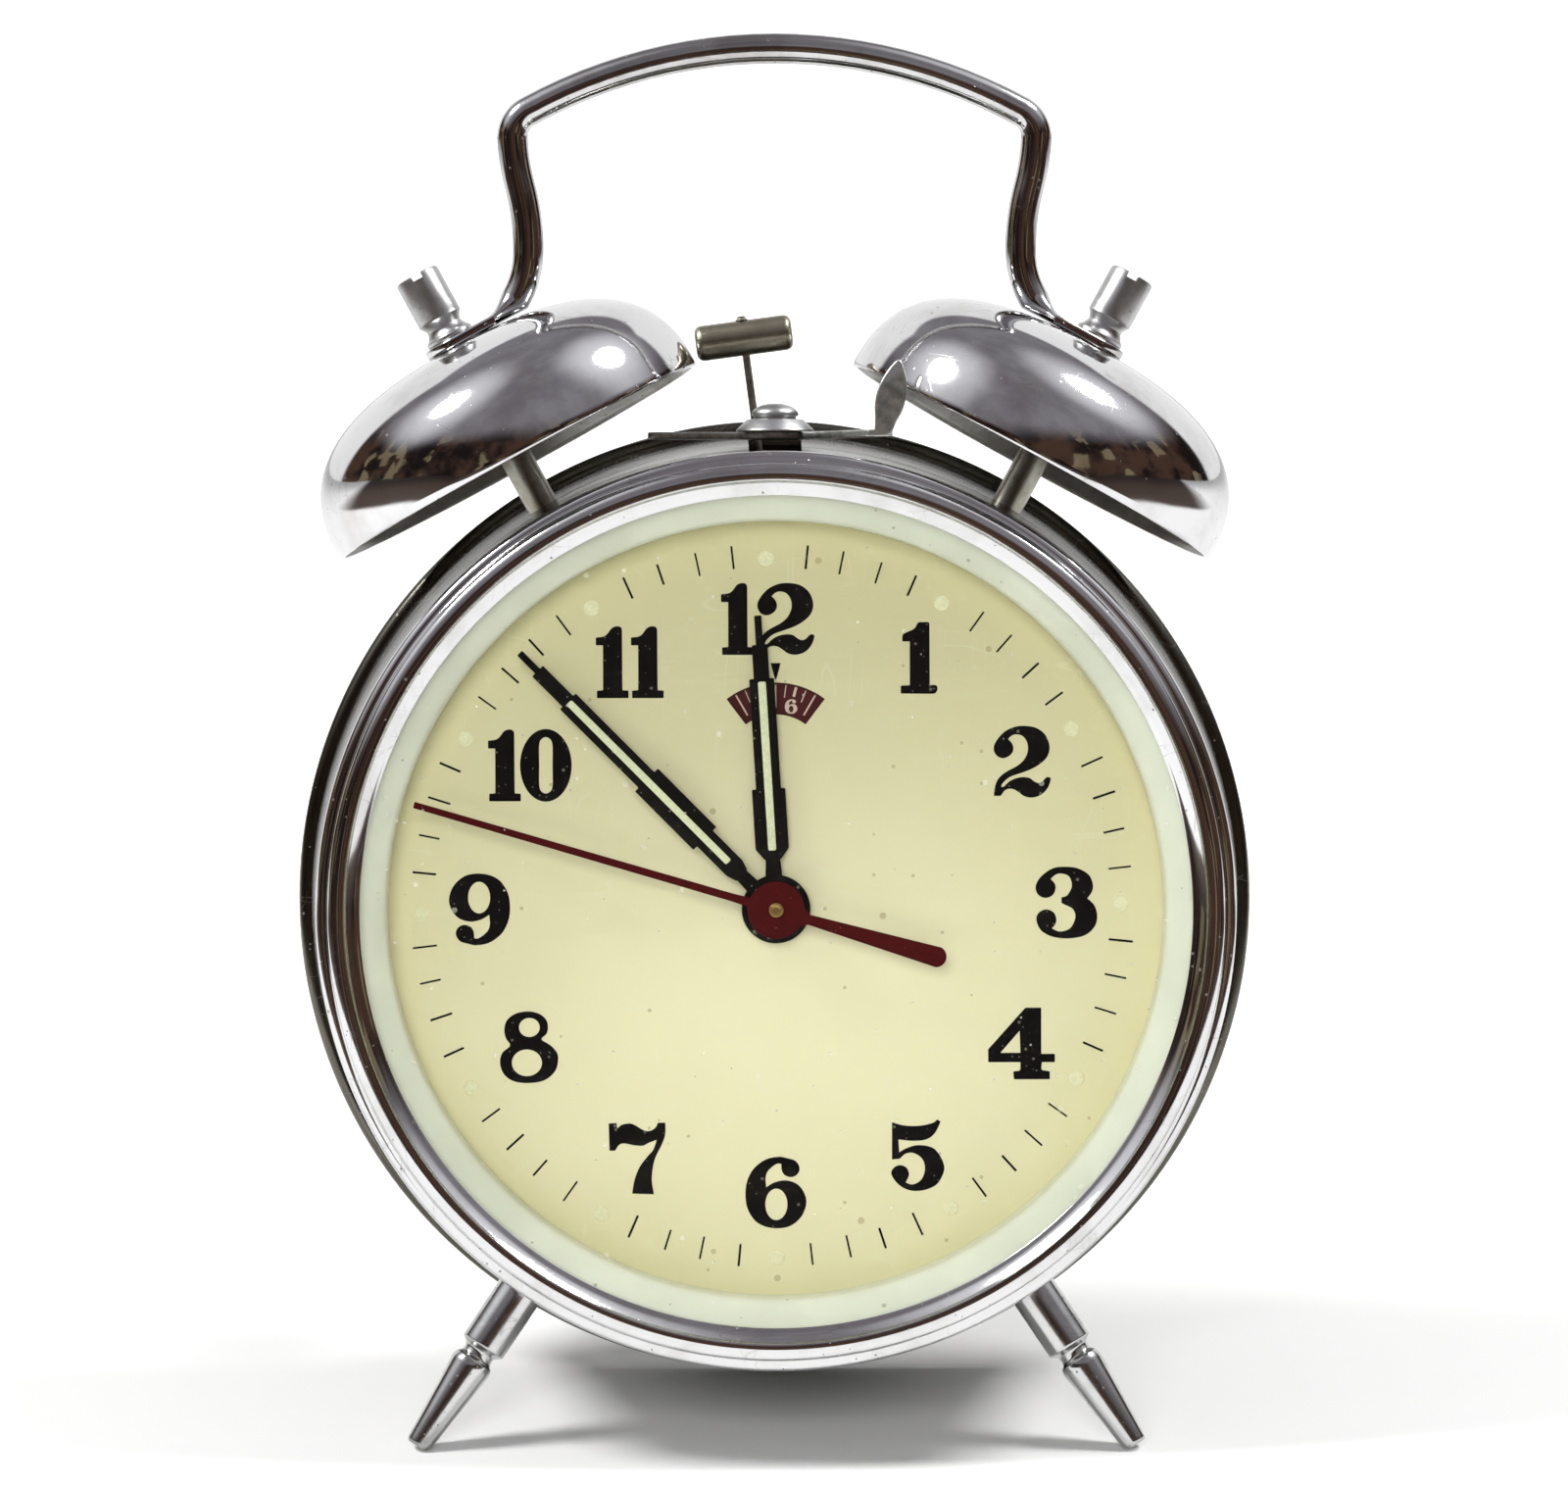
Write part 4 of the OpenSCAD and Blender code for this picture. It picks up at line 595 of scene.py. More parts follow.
six = [flowing([
    (46, 100), (58, 98), (70, 94), (75.6, 84), (72, 75), (63, 71.4), (54, 75), (50.4, 82), (50, 90, 0),
    (45, 90.5), (40, 88), (35, 84), (30.5, 79), (28, 70), (29, 57.5, 0), (40, 64), (55, 67), (70, 63),
    (80, 53), (85, 37), (79, 18), (64, 4), (45, 0), (26, 3), (12, 12), (2, 30), (0, 51), (3, 68),
    (12, 84), (28, 96)]),
    circle(15.4, 43, 33.5, 40, 22)]
seven = flowing([
    (0, 99, 0), (11, 99.6, 0), (12, 92, 0), (18, 97), (28.5, 99), (36, 97), (50, 89), (59, 89), (66, 94),
    (68.5, 100, 0), (79, 100, 0), (79, 85), (75, 71.5), (64, 48), (60, 22), (63, 0, 0), (32.5, 1, 0),
    (36, 20), (43, 38), (55, 54), (62, 62), (67, 76, 0), (56, 72), (48, 68), (36, 68.5), (23, 71),
    (15, 69.5), (9, 61, 0), (1, 61, 0)])
eight = [flowing([
    (6, 75), (10, 88), (22, 97), (39, 100), (54, 97), (64, 89), (67, 79), (65, 69), (58, 61), (70, 53),
    (79, 43), (81, 33), (77, 17), (62, 4), (39, 0), (18, 3), (5, 13), (0, 28), (3, 42), (14, 52.5),
    (8, 63)]),
    circle(14.5, 41, 77.6, 40, 13.3), circle(21.0, 37.4, 28.3, 40, 18.6)]
nine = [[(84 - x, 100 - y) for x, y in loop] for loop in six]
nought = [circle(36, 36, 50, 40, 50.7), flowing([
    (26.7, 50), (26.7, 78), (30, 86.5), (36, 89.3), (42, 86.5), (45.3, 78), (45.3, 50), (45.3, 22),
    (42, 13.5), (36, 10.7), (30, 13.5), (26.7, 22)])]


def beside(*parts):
    """Figures of several digits: each part is its loops and how far right it starts."""
    return [[(x + start, y) for x, y in loop] for loops, start in parts for loop in loops]


hours = {1: ([one], 52, (17.62, 30.70)), 2: ([two], 80, (30.24, 17.96)), 3: ([three], 86, (35.64, 0.67)),
         4: (four, 93, (30.12, -16.63)), 5: ([five], 74, (17.38, -30.33)), 6: (six, 85, (-0.04, -34.90)),
         7: ([seven], 79, (-17.09, -30.69)), 8: (eight, 81, (-30.31, -16.99)), 9: (nine, 84, (-36.31, -0.06)),
         10: (beside(([slim_one], 0), (nought, 43)), 115, (-30.07, 17.60)),
         11: (beside(([slim_one], 0), ([slim_one], 49)), 93, (-17.81, 30.22)),
         12: (beside(([slim_one], 0), ([two], 49)), 129, (-0.88, 35.50))}
ink = finish("glossy_black_ink")
flecks = ink.specks(0.42, 0.24, 0.1).most(ink.specks(0.9, 0.14, 0.5))
bloom = ink.noise(3.0, 5.0, 0.65)
black_ink = ink.surface(
    Base_Color=ink.clouded(bloom.ramp(0.5, 0.9), (0.004, 0.0035, 0.004), (0.012, 0.011, 0.012),
                           flecks * 0.5, (0.26, 0.24, 0.20)),
    Roughness=0.38 + bloom * 0.2 + flecks * 0.3, Specular_IOR_Level=0.12, bump=bloom, depth=0.01)
figure_scale = 8.8 / 100
printed = []
for loops, width, middle in hours.values():
    printed += [[(middle[0] + (x - width / 2) * figure_scale, middle[1] + (y - 50) * figure_scale)
                 for x, y in loop] for loop in loops]
piece("hour_numerals", sheet(printed, 0.05, 0.015, 1), black_ink, "root", "dial_paint",
      at=layer(dial_front - 0.015))

# The strokes are printed a little off the middle, and none is quite like the next.
strokes = []
for minute in range(60):
    if minute % 5:
        strokes.append(stroke(
            radians(6 * minute - 0.42 + 0.15 * sin(minute * 2.4)), 41.53 + 0.12 * sin(minute * 3.1),
            44.33 + 0.12 * sin(minute * 1.3), 0.125 + 0.015 * sin(minute * 1.7), -0.43, 0.26))
pointer_tip, pointer_top = 28.1, 30.1
strokes.append([(-0.62, pointer_top), (0.62, pointer_top), (0.08, pointer_tip), (-0.08, pointer_tip)])
piece("minute_strokes", sheet(strokes, 0.04, 0.01, 1), black_ink, "root", "dial_paint",
      at=layer(dial_front - 0.01))

glow = finish("luminous_paint")
crumb = glow.noise(0.5, 4.0, 0.7)
luminous = glow.surface(
    Base_Color=glow.mix(crumb.ramp(0.3, 0.7), (0.66, 0.68, 0.42), (0.78, 0.80, 0.58)),
    Roughness=0.75, bump=crumb, depth=0.05)
faded = finish("faded_luminous_paint")
grit = faded.noise(0.45, 4.0, 0.7)
faded_paint = faded.surface(
    Base_Color=faded.mix(grit.ramp(0.3, 0.7), (0.72, 0.69, 0.43), (0.83, 0.80, 0.57)),
    Roughness=0.7, bump=grit, depth=0.04)
dot_r, dot_height, dots_r = 0.97, 0.16, 42.9
dot_profile = [(0, -0.05), (dot_r, -0.05)] + arc((0, 0), dot_r, 0, 75, 5, dot_height) + [(0, dot_height)]
dots = []
for hour in range(12):
    turn = radians(30 * hour - 0.84)
    dots.append((lathe(dot_profile, 28), layer(dial_front, dots_r * sin(turn) - 0.55, dots_r * cos(turn)) @
                 Matrix.Diagonal((1, 1, -1, 1))))
piece("hour_dots", gathered(dots), faded_paint, "root", "dial_paint")


# ---------------- alarm disc
# A small maroon disc that turns behind the dial's window. Its scale is printed in pale pink.
maroon = finish("maroon_lacquer")
blot = maroon.noise(2.0, 4.0)
disc_lacquer = maroon.surface(
    Base_Color=maroon.clouded(blot, (0.052, 0.006, 0.009), (0.085, 0.012, 0.014),
                              maroon.specks(0.7, 0.12) * 0.4, (0.35, 0.22, 0.18)),
    Roughness=0.42 + blot * 0.2, bump=blot, depth=0.01)
disc_front, disc_gauge = 10.5, 0.5
disc = sheet([circle(10.9, steps=96), circle(1.0, steps=32)], disc_gauge, 0.06)
piece("alarm_scale_disc", disc, disc_lacquer, "alarm_setting", "disc_paint", "alarm_disc",
      at=layer(disc_front + disc_gauge / 2, z=window_middle))
pale_ink = finish("pale_pink_ink")
tone = pale_ink.noise(0.6, 3.0)
pink_ink = pale_ink.surface(
    Base_Color=pale_ink.mix(tone, (0.62, 0.42, 0.36), (0.80, 0.66, 0.56)), Roughness=0.5,
    bump=tone, depth=0.01)
scale_marks = []
marks, six_at, scale_r = 48, 2, 9.75
for mark in range(marks):
    near, half = (8.55, 0.16) if mark == six_at else (8.2, 0.06) if mark % 4 else (6.9, 0.10)
    scale_marks.append(stroke(2 * pi * mark / marks, near, scale_r, half))
turn, small_r, small_scale = 2 * pi * six_at / marks, 7.3, 0.018
for loop in six:
    scale_marks.append([((x - 42) * small_scale + small_r * sin(turn),
                         (y - 50) * small_scale + small_r * cos(turn)) for x, y in loop])
piece("alarm_scale_print", sheet(scale_marks, 0.04, 0.01, 1), pink_ink, "alarm_setting", "disc_paint",
      at=layer(disc_front - 0.01, z=window_middle))


# ---------------- hands
# The hour and minute hands are stamped steel in gloss black, each with a strip of luminous paint
# in its slot. The thin second hand is red, and pressed on a small brass eye.
gloss = finish("gloss_black_enamel")
lint = gloss.specks(0.5, 0.14, 0.2).most(gloss.specks(0.9, 0.07, 0.8))
smear = gloss.noise(1.8, 4.0, 0.65)
black_enamel = gloss.surface(
    Base_Color=gloss.clouded(smear.ramp(0.5, 0.9), (0.004, 0.004, 0.004), (0.016, 0.014, 0.014),
                             lint * 0.55, (0.34, 0.31, 0.25)),
    Roughness=0.26 + smear * 0.2 + lint * 0.4, Specular_IOR_Level=0.25, bump=smear * 0.8 + lint, depth=0.015)
red = finish("dark_red_enamel")
mottle = red.noise(1.6, 4.0, 0.6)
red_enamel = red.surface(
    Base_Color=red.clouded(mottle, (0.050, 0.0035, 0.0045), (0.078, 0.006, 0.007),
                           red.specks(0.6, 0.12, 0.4) * 0.5, (0.30, 0.16, 0.12)),
    Roughness=0.40 + mottle * 0.2, Specular_IOR_Level=0.08, bump=mottle, depth=0.01)


def blade(stations, hub, hole):
    """A hand's outline up the page: (distance, half width) stations on a round hub."""
    first = stations[0][1]
    start = degrees(atan2(sqrt(hub * hub - first * first), first))
    right = [(w, d) for d, w in stations[1:]]
    sides = eased([(-w, d) for w, d in right] + [(w, d) for w, d in reversed(right)], 0.12, 2)
    return [sides + arc((0, 0), hub, start, -start - 180, 72), circle(hole, steps=48)]


def lie(y, turn):
    return Matrix.Translation((0, y, 0)) @ Matrix.Rotation(radians(turn), 4, "Y") @ FACING


hour_turn, minute_turn, second_turn = -3.5, -44.9, -73.7
hour_depth, minute_depth, second_depth = 8.075, 6.775, 5.375
strip_proud = 0.205
hour_shape = blade([(0, 1.02), (6.1, 1.02), (7.4, 2.04), (14.76, 2.04), (14.76, 1.53), (28.26, 1.53),
                    (28.26, 0.96), (32.4, 0.96), (32.4, 0.44), (36, 0.44)], 4.2, 1.95)
piece("hour_hand_blade", sheet(hour_shape, 0.35, 0.07), black_enamel, "hour", "hand_paint", "hour_hand",
      at=lie(hour_depth, hour_turn))
minute_shape = blade([(0, 0.96), (5.9, 0.96), (7.2, 1.36), (12.3, 1.36), (12.3, 1.98), (22.4, 1.98),
                      (22.4, 1.36), (35.97, 1.36), (35.97, 0.93), (41.2, 0.93), (41.2, 0.42), (44.3, 0.42)],
                     3.4, 1.4)
piece("minute_hand_blade", sheet(minute_shape, 0.35, 0.07), black_enamel, "minute", "hand_paint",
      "minute_hand", at=lie(minute_depth, minute_turn))
for body, y, turn, near, far, half in (("hour", hour_depth, hour_turn, 7.2, 27.9, 0.49),
                                       ("minute", minute_depth, minute_turn, 8.2, 35.8, 0.44)):
    strip = eased([(-half, near), (half, near), (half, far), (-half, far)], 0.25)
    piece(body + "_hand_glow", sheet([strip], 0.12, 0.05), luminous, body, "hand_paint",
          at=lie(y - strip_proud, turn))
needle = [(0.49 - 0.10 * k / 8, 3.4 + 42.6 * k / 8) for k in range(9)]
rim = arc((0, 0), 3.5, 82, -70, 19)
tail = [(0.62, -4.2)] + arc((0, -20.3), 1.3, -15, -165, 15) + [(-0.62, -4.2)]
second_shape = ([(-x, y) for x, y in needle] + list(reversed(needle)) + rim + tail +
                [(-x, y) for x, y in reversed(rim)])
piece("second_hand_blade", sheet([second_shape, circle(0.5, steps=32)], 0.33, 0.08), red_enamel, "seconds",
      "second_paint", "second_hand", at=lie(second_depth, second_turn))


def brassy(name, light, dark, rough):
    """Lacquered brass, hazed and spotted where the lacquer has gone."""
    metal = finish(name)
    haze = metal.noise(2.5, 5.0, 0.65)
    spots = metal.specks(0.9, 0.12)
    return metal.surface(
        Base_Color=metal.mix(haze.ramp(0.35, 0.75), light, metal.mix(spots, dark, (0.10, 0.07, 0.03))),
        Metallic=1.0, Roughness=rough + haze * 0.2 + spots * 0.2,
        bump=metal.noise(0.35, 3.0, 0.6, (1, 0.3, 1)) - spots * 0.4, depth=0.012)


brass = brassy("lacquered_brass", (0.62, 0.42, 0.16), (0.40, 0.27, 0.11), 0.24)
eye = lathe([(0.30, 5.62), (0.30, 4.98)] + arc((0.62, 4.98), 0.28, 180, 360, 10) + [(0.90, 5.62)], 48,
            closed=True)
piece("second_hand_eye", eye, brass, "seconds", "brass", at=FACING)


# ---------------- bells
# Two domes pressed from steel and brightly plated. Each sits on a post with its crown pulled down
# by the barrel nut, and leans outwards.
bell_x, bell_y, bell_z, bell_lean = 31.82, 22.0, 54.89, radians(28.7)
bell_r, bell_height, bell_gauge, fullness = 25.3, 16.3, 0.8, 0.755
bell_steps = 224


def bell_seat(side):
    """The frame of one bell: its height runs up the leaning post, from the middle of the rim."""
    return Matrix.Translation((side * bell_x, bell_y, bell_z)) @ Matrix.Rotation(side * bell_lean, 4, "Y")


def dome_curve(inwards, angles):
    """Points of the bell's full curve, or of the same curve further in."""
    return [((bell_r - inwards) * cos(radians(a)) ** fullness,
             (bell_height - inwards) * sin(radians(a)) ** fullness) for a in angles]


bell_chrome = chromium("bell_chromium", (0.70, 0.70, 0.71), (0.60, 0.59, 0.585), 0.045, 0.3, pitted=0.05)
bell_inside = chromium("bell_inside", (0.42, 0.41, 0.39), (0.30, 0.29, 0.27), 0.34, 1.0, pitted=0.12)
outer = dome_curve(0, [0.6, 1.5, 3, 4.5, 6, 8, 10] + list(range(13, 86, 3)) + [86.6, 87.6])
crown = [(2.9, 16.26), (2.0, 16.3), (1.62, 16.28), (1.5, 16.1), (1.5, 15.62), (1.7, 15.5)]
inner = dome_curve(bell_gauge, [87, 84] + list(range(80, 8, -4)) + [6, 3, 1.2])
lip = [(24.55, 0.12), (24.66, 0.02), (25.1, 0.0), (25.22, 0.1), (25.26, 0.35)]
bell_profile = [(r, max(h, 0.45)) for r, h in outer] + crown + inner + lip
PAIR = ((-1, "left"), (1, "right"))
for side, name in PAIR:
    dome = lathe(bell_profile, bell_steps, closed=True)
    for i, face in enumerate(dome.faces):
        if 0 <= i // bell_steps - len(outer + crown) < len(inner):
            face.material_index = 1
    piece(name + "_bell_dome", dome, bell_chrome, "root", "chrome_bell", name + "_bell", at=bell_seat(side),
          sharp=50, lining=bell_inside)


# ---------------- bell posts and barrel nuts
# Turned steel, nickelled and gone slightly yellow. The post stands on the drum; the nut is turned
# from bar, with a rolled waist and a screwdriver slot across its end.
def turned(name, tint, worn, rough, seat, groove=0.6):
    """Nickel with the fine rings that a turning tool leaves round the axis of the seat's height."""
    metal = finish(name)
    axis = (seat.to_3x3() @ Vector((0, 0, 1))).normalized()
    along = metal.node("ShaderNodeVectorMath", {"operation": "DOT_PRODUCT"}, {
        0: metal.reach(), 1: axis}, out=1)
    lines = metal.node("ShaderNodeTexNoise", {"noise_dimensions": "1D"}, {
        "W": along, "Scale": 9.0, "Detail": 3.0, "Roughness": 0.7})
    haze = metal.noise(2.2, 4.0, 0.6)
    spots = metal.specks(0.8, 0.14)
    return metal.surface(
        Base_Color=metal.clouded(haze.ramp(0.4, 0.7), tint, worn, spots * 0.5, (0.16, 0.14, 0.10)),
        Metallic=1.0, Roughness=rough + lines * 0.12 + haze * 0.10 + spots * 0.2,
        bump=lines * groove + haze * 0.3 - spots * 0.3, depth=0.012)


def slotted(work, width, depth, reach, top):
    """Cuts a screwdriver slot across the top of a lathe's mesh."""
    knife = bmesh.new()
    bmesh.ops.create_cube(knife, size=1)
    knife.transform(Matrix.Translation((0, 0, top)) @ Matrix.Diagonal((width, 2 * reach, 2 * depth, 1)))
    shapes = []
    for part in (work, knife):
        mesh = bpy.data.meshes.new("carving")
        part.to_mesh(mesh)
        part.free()
        shapes.append(placed("carving", mesh))
    cutting = shapes[0].modifiers.new("cut", "BOOLEAN")
    cutting.operation = "DIFFERENCE"
    cutting.solver = "EXACT"
    cutting.object = shapes[1]
    result = mesh_of(shapes[0])
    bpy.data.objects.remove(shapes[1])
    return result


nut_height, nut_seat = 9.0, 17.6
barrel_profile = (
    [(0, -0.02), (2.9, -0.02), (3.05, 0.12), (3.05, 0.5), (2.98, 0.62)] +
    [(2.25 + 0.62 * abs(t) ** 1.6, 1.75 + 1.08 * t) for t in (-1, -0.8, -0.6, -0.3, 0, 0.3, 0.6, 0.8, 1)] +
    [(2.85, 2.95), (2.86, 3.3), (2.86, 8.5), (2.74, 8.86), (2.5, nut_height), (1.2, 8.98), (0, nut_height)])
for side, name in PAIR:
    seat = bell_seat(side)
    post_nickel = turned(name + "_post_nickel", (0.36, 0.35, 0.30), (0.27, 0.255, 0.20), 0.20, seat)
    nut_nickel = turned(name + "_nut_nickel", (0.52, 0.52, 0.525), (0.40, 0.40, 0.39), 0.24, seat)
    post = lathe(eased([(0, -7.5), (2.0, -7.5), (2.0, 15.4, 0.3), (1.4, 15.45), (1.4, 23.3, 0.3), (0, 23.3)],
                       0.1, closed=False), 72)
    piece(name + "_post", post, post_nickel, "root", "nickel", name + "_bell_post", at=seat)
    nut = slotted(lathe(barrel_profile, 96), 1.35, 0.75, 4.0, nut_height)
    piece(name + "_barrel_nut", nut, nut_nickel, "root", "nickel", name + "_bell_nut",
          at=seat @ Matrix.Translation((0, 0, nut_seat)), sharp=28)


# ---------------- carrying handle
# One length of round steel rod, bent over the bells and flattened at both ends into an eye that
# the barrel nut clamps on the crown of the bell. It is plated, and scuffed along the top.
def walked(at, heading, moves):
    """Points along a line of bends, each (radius, sweep): a negative radius turns to the right."""
    steps = []
    for radius, sweep in moves:
        turn = sweep if radius > 0 else -sweep
        middle = (at[0] - radius * sin(radians(heading)), at[1] + radius * cos(radians(heading)))
        count = ceil(abs(turn) / 2.5)
        for k in range(1, count + 1):
            way = heading + turn * k / count
            steps.append((middle[0] + radius * sin(radians(way)),
                          middle[1] - radius * cos(radians(way)), way))
        at, heading = steps[-1][:2], heading + turn
    return steps


rod_r, eye_r, rod_top, clamped = 1.91, 3.7, 106.33, 16.95
bend = walked((0, rod_top), 0, [(-64, 28.6), (-3.7, 64.4), (-28, 12), (30, 16), (12, 30)])
right_rod = [(x, z, way, rod_r, rod_r) for x, z, way in bend]
for reach, thick, wide in ((-7.4, 1.21, 2.54), (-6.9, 1.02, 2.85), (-6.4, 0.86, 3.11), (-5.9, 0.76, 3.42),
                           (-5.4, 0.68, 3.60), (-4.8, 0.62, 3.66), (-4.0, 0.58, 3.62)):
    spot = bell_seat(1) @ Vector((reach, 0, clamped + max(0, thick - 0.6)))
    right_rod.append((spot.x, spot.z, -degrees(bell_lean), thick, wide))
rings = ([(-x, z, -way, a, b) for x, z, way, a, b in reversed(right_rod)] +
         [(0, rod_top, 0, rod_r, rod_r)] + right_rod)
rod = bmesh.new()
sides = 28
loops = []
for x, z, way, thick, wide in rings:
    n = (-sin(radians(way)), cos(radians(way)))
    loops.append([rod.verts.new((x + n[0] * out, bell_y + across, z + n[1] * out))
                  for out, across in circle(thick, steps=sides, high=wide)])
for a, b in zip(loops, loops[1:]):
    for k in range(sides):
        rod.faces.new((a[k], a[(k + 1) % sides], b[(k + 1) % sides], b[k]))
rod.faces.new(loops[0])
rod.faces.new(loops[-1])
handle_parts = [(rod, Matrix.Identity(4))]
for side in (-1, 1):
    eye_shape = [(-side * 6.0, -3.62), (0, -eye_r)] + arc(
        (0, 0), eye_r, 90 - side * 172, 90 - side * 12, 20) + [(0, eye_r), (-side * 6.0, 3.62)]
    handle_parts.append((sheet([eye_shape, circle(1.55, steps=40)], 1.2, 0.35, 4),
                         bell_seat(side) @ Matrix.Translation((0, 0, clamped))))
rod_chrome = chromium("handle_chromium", (0.60, 0.60, 0.60), (0.44, 0.43, 0.42), 0.06, 0.8)
piece("carrying_handle", gathered(handle_parts), rod_chrome, "root", "chrome_case", "handle", sharp=40)


# ---------------- hammer
# A short turned slug of nickelled steel, riveted on a thin rod that comes up through the slot.
hammer_seat = Matrix.Translation((0, 23, 41.6)) @ Matrix.Rotation(radians(-7.6), 4, "Y")
arm_top = hammer_seat @ Matrix.Translation((0, 0, 29.1))
slug_r, slug_half = 2.2, 6.05
slug_nickel = turned("hammer_nickel", (0.35, 0.32, 0.25), (0.27, 0.245, 0.185), 0.24,
                     arm_top @ Matrix.Rotation(pi / 2, 4, "X"), 1.2)
slug = lathe(eased([(0, -slug_half), (slug_r, -slug_half, 1.3), (slug_r, slug_half, 1.3), (0, slug_half)],
                   1.0, 8, closed=False), 96)
piece("hammer_slug", slug, slug_nickel, "hammer", "hammer_nickel", "hammer_head",
      at=arm_top @ Matrix.Rotation(pi / 2, 4, "Y"), sharp=50)


dressed = set()


def dress(nodes, material, softened=0.0):
    """Gives the frame's own pieces their finish, and rounds their sharp edges a little."""
    for node in nodes:
        dressed.add(node)
        made = frame["nodes"][node]
        made.data.materials.clear()
        made.data.materials.append(material)
        if softened:
            made.modifiers.new("joined", "WELD").merge_threshold = 1e-6
            edges = made.modifiers.new("softened", "BEVEL")
            edges.width = softened * 0.001
            edges.segments = 2
            edges.limit_method = "ANGLE"
            edges.angle_limit = radians(38)
            edges.harden_normals = True


dress(["hammer_arm"], turned("hammer_arm_nickel", (0.34, 0.32, 0.27), (0.22, 0.2, 0.16), 0.3, hammer_seat))


# ---------------- stop lever and its rivet
# A strip of sheet steel on the top of the drum, with its end turned up into a leaf for the
# finger. A conical washer and a domed rivet hold it so that it can be pushed across.
def divide(work, place, way, **cleared):
    """Divides a mesh along a plane through a place, square to a way."""
    bmesh.ops.bisect_plane(work, geom=work.verts[:] + work.edges[:] + work.faces[:],
                           plane_co=place, plane_no=way, **cleared)


lever_y, lever_z, lever_gauge = 16, 57.65, 0.85
lever_seat = Matrix.Translation((0, lever_y, 0))
strip_nickel = turned("lever_nickel", (0.58, 0.59, 0.56), (0.27, 0.275, 0.25), 0.28,
                      lever_seat @ Matrix.Rotation(pi / 2, 4, "Y"), 0.4)
rivet_nickel = turned("rivet_nickel", (0.52, 0.525, 0.53), (0.42, 0.42, 0.41), 0.26, lever_seat, 0.8)
spoon = eased([(-13, -2.7, 2.6), (2.7, -2.7, 2), (11.2, -13.4, 0.6), (14.2, -13.4, 0.8), (14.2, -11.4, 1),
               (4, 2.7, 2), (-13, 2.7, 2.6), (-15.7, 2.6, 2.6), (-15.7, -2.6, 2.6)], 0.6, 6)
rivet_hole = circle(2.6, steps=48)
lever_parts = [(sheet([outline, rivet_hole], lever_gauge, 0.14, 2),
                lever_seat @ Matrix.Translation((0, 0, lever_z + lever_gauge / 2)))
               for outline in (spoon, circle(4.4, steps=72))]
leaf_half = [(0.3, 0.8), (0.7, 1.08), (2.0, 1.3), (3.2, 1.66), (4.6, 1.82), (6.0, 1.72), (7.2, 1.42),
             (8.2, 1.02), (9.0, 0.62), (9.45, 0.3), (9.58, 0.0)]
leaf_side = flowing([(w, h) for h, w in leaf_half] + [(-w, h) for h, w in reversed(leaf_half[:-1])])
leaf = sheet([leaf_side], lever_gauge, 0.24, 3)
bent_above = 6.4
divide(leaf, (0, bent_above, 0), (0, 1, 0))
for vert in leaf.verts:
    vert.co.z += max(0, vert.co.y - bent_above) * 0.10
lever_parts.append((leaf, Matrix.Translation((12.9, 2.6 + lever_gauge / 2, lever_z)) @
                    Matrix.Rotation(radians(13), 4, "Y") @ FACING))
piece("stop_lever_strip", gathered(lever_parts), strip_nickel, "stop_lever", "nickel", "stop_lever")
rivet_r, rivet_dome = 2.9, 1.4
rivet_profile = (
    eased([(0, lever_z), (2.5, lever_z), (2.5, 58.5), (4.85, 58.5, 0.2), (4.85, 58.75, 0.15),
           (3.5, 60.1, 0.2), (2.6, 60.15, 0.1), (2.6, 60.5, 0.1), (rivet_r, 60.55, 0.2)],
          0.05, 3, closed=False) +
    arc((0, 60.7), rivet_r, 6, 86, 10, rivet_dome) + [(0, 62.1)])
piece("stop_lever_rivet", lathe(rivet_profile, 96), rivet_nickel, "root", "chrome_case", "lever_rivet",
      at=lever_seat)


# ---------------- legs
# Turned steel legs screwed through the drum, with a straight barrel, a neck and a tapered foot.
# They are plated, and splay outwards and forwards; behind them the clock rests on its bead.
leg_profile = [(0, -1), (2.9, -1)] + eased([
    (2.9, -1), (2.85, 8.6, 0.15), (2.55, 8.85, 0.12), (1.95, 9.3, 0.3), (1.95, 10.2, 0.25), (2.45, 10.6, 0.2),
    (2.66, 11.3, 0.35), (1.55, 22.85, 0.15), (1.3, 23.2, 0.1), (0, 23.22)], 0.2, 5, closed=False)[1:]
leg_splay, leg_back = 33.8, 8
for side, name in PAIR:
    seat = (Matrix.Rotation(radians(180 - side * leg_splay), 4, "Y") @
            Matrix.Translation((0, 11.8, 56.33)) @ Matrix.Rotation(radians(leg_back), 4, "X"))
    leg = lathe(leg_profile, 96)
    down = (CLOCK @ seat).inverted()
    ground = down @ Vector((0, 0, 0.00002))
    up = (down.to_3x3() @ Vector((0, 0, 1))).normalized()
    divide(leg, ground, up, clear_inner=True)
    bmesh.ops.holes_fill(leg, edges=[e for e in leg.edges if e.is_boundary])
    leg_chrome = chromium(name + "_leg_chromium", (0.60, 0.605, 0.60), (0.38, 0.385, 0.37), 0.13, 0.5,
                          pitted=0.16)
    piece(name + "_foot", leg, leg_chrome, "root", "nickel", name + "_leg", at=seat)


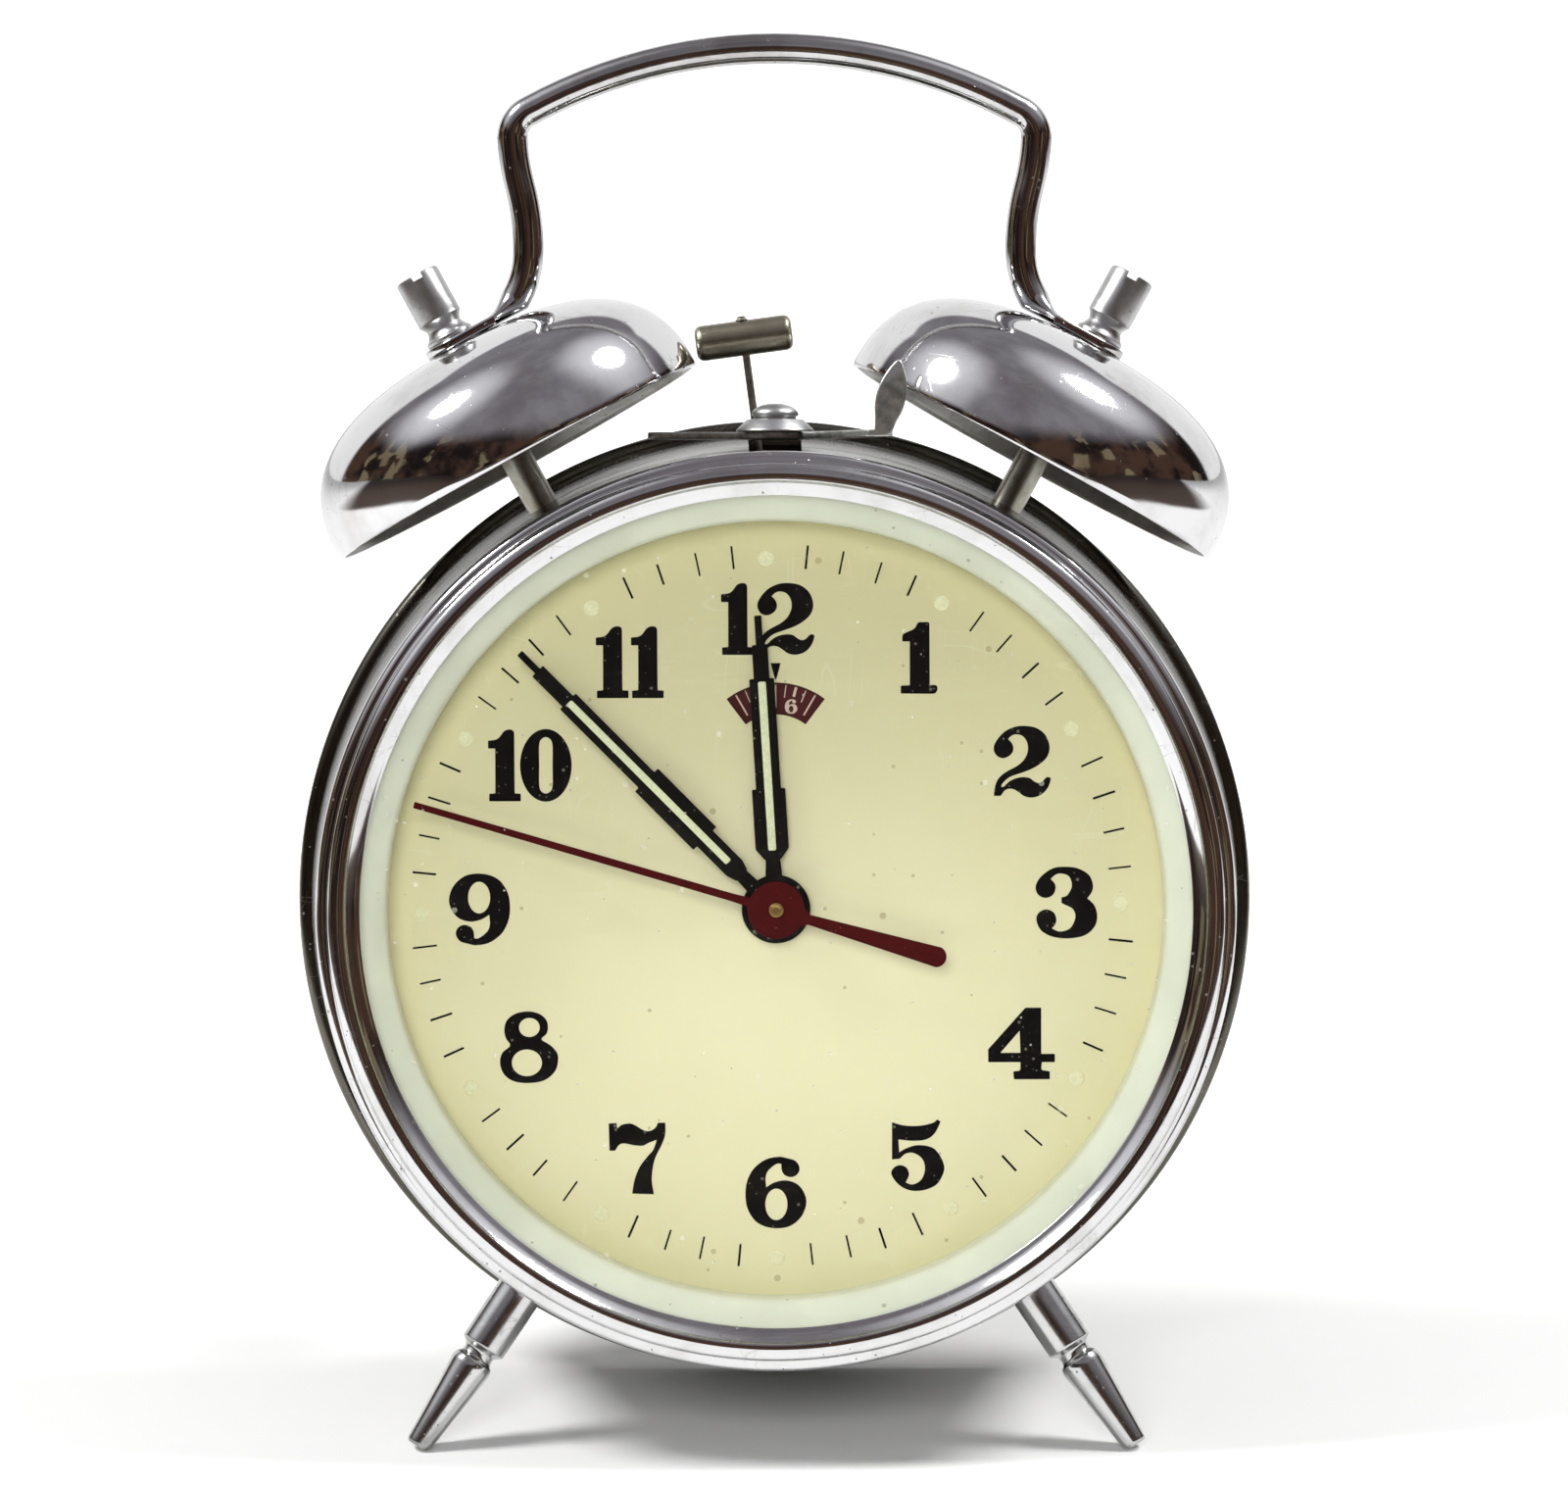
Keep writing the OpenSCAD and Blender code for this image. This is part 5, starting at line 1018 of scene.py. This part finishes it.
# ---------------- back cover, screws, keys and knobs
# The dished cover closes the rolled edge of the drum. Four slotted screws hold it, and the two
# winding keys, the setting knobs and the regulator stand behind it.
spun = finish("spun_cover_plating")
rings_cut = spun.node("ShaderNodeTexNoise", {"noise_dimensions": "1D"}, {
    "W": spun.from_axis(), "Scale": 3.0, "Detail": 5.0, "Roughness": 0.75})
film = spun.noise(11.0, 5.0, 0.6)
handled = spun.scratches(4.0, 0.2)
spotting = spun.specks(1.4, 0.10)
cover_plating = spun.surface(
    Base_Color=spun.clouded(
        film.ramp(0.35, 0.8), (0.47, 0.47, 0.45), (0.38, 0.375, 0.35), spotting * 0.6, (0.16, 0.13, 0.09)),
    Metallic=1.0, Roughness=0.26 + rings_cut * 0.12 + film * 0.08 + handled * 0.1 + spotting * 0.2,
    bump=rings_cut * 0.5 + film * 0.4 - handled * 0.15 - spotting * 0.3, depth=0.03)
dress(["back_cover"], cover_plating)
key_nickel = turned("key_nickel", (0.40, 0.395, 0.37), (0.29, 0.28, 0.245), 0.22, FACING, 0.2)
screw_nickel = turned("screw_nickel", (0.34, 0.325, 0.28), (0.22, 0.20, 0.165), 0.24, FACING, 0.5)
knob_brass = brassy("knob_brass", (0.58, 0.40, 0.16), (0.34, 0.23, 0.10), 0.26)
dress(["time_key", "alarm_key"], key_nickel, 0.22)
dress(["cover_screws"], screw_nickel, 0.10)
dress(["time_set_knob", "alarm_set_knob"], knob_brass, 0.10)


# ---------------- movement
# Brass plates and wheels on steel arbors, with blued springs. They show through the slot in the
# drum and behind the dial's window only.
inner_brass = brassy("movement_brass", (0.60, 0.43, 0.18), (0.42, 0.30, 0.13), 0.3)
inner_steel = turned("movement_steel", (0.42, 0.42, 0.43), (0.30, 0.29, 0.28), 0.28, FACING, 0.4)
blued = finish("spring_steel_blue")
band = blued.noise(4.0, 3.0)
blued_steel = blued.surface(
    Base_Color=blued.mix(band, (0.06, 0.07, 0.11), (0.16, 0.15, 0.17)), Metallic=1.0,
    Roughness=0.25 + band * 0.15, bump=band, depth=0.01)
remade = {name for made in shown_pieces() for name in made.get("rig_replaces", [])}
for name in frame["nodes"]:
    if name in remade | dressed:
        continue
    if "spring" in name:
        dress([name], blued_steel)
    elif any(word in name for word in ("arbor", "nut", "pillar", "standoff", "lever", "bracket", "fork")):
        dress([name], inner_steel)
    else:
        dress([name], inner_brass)
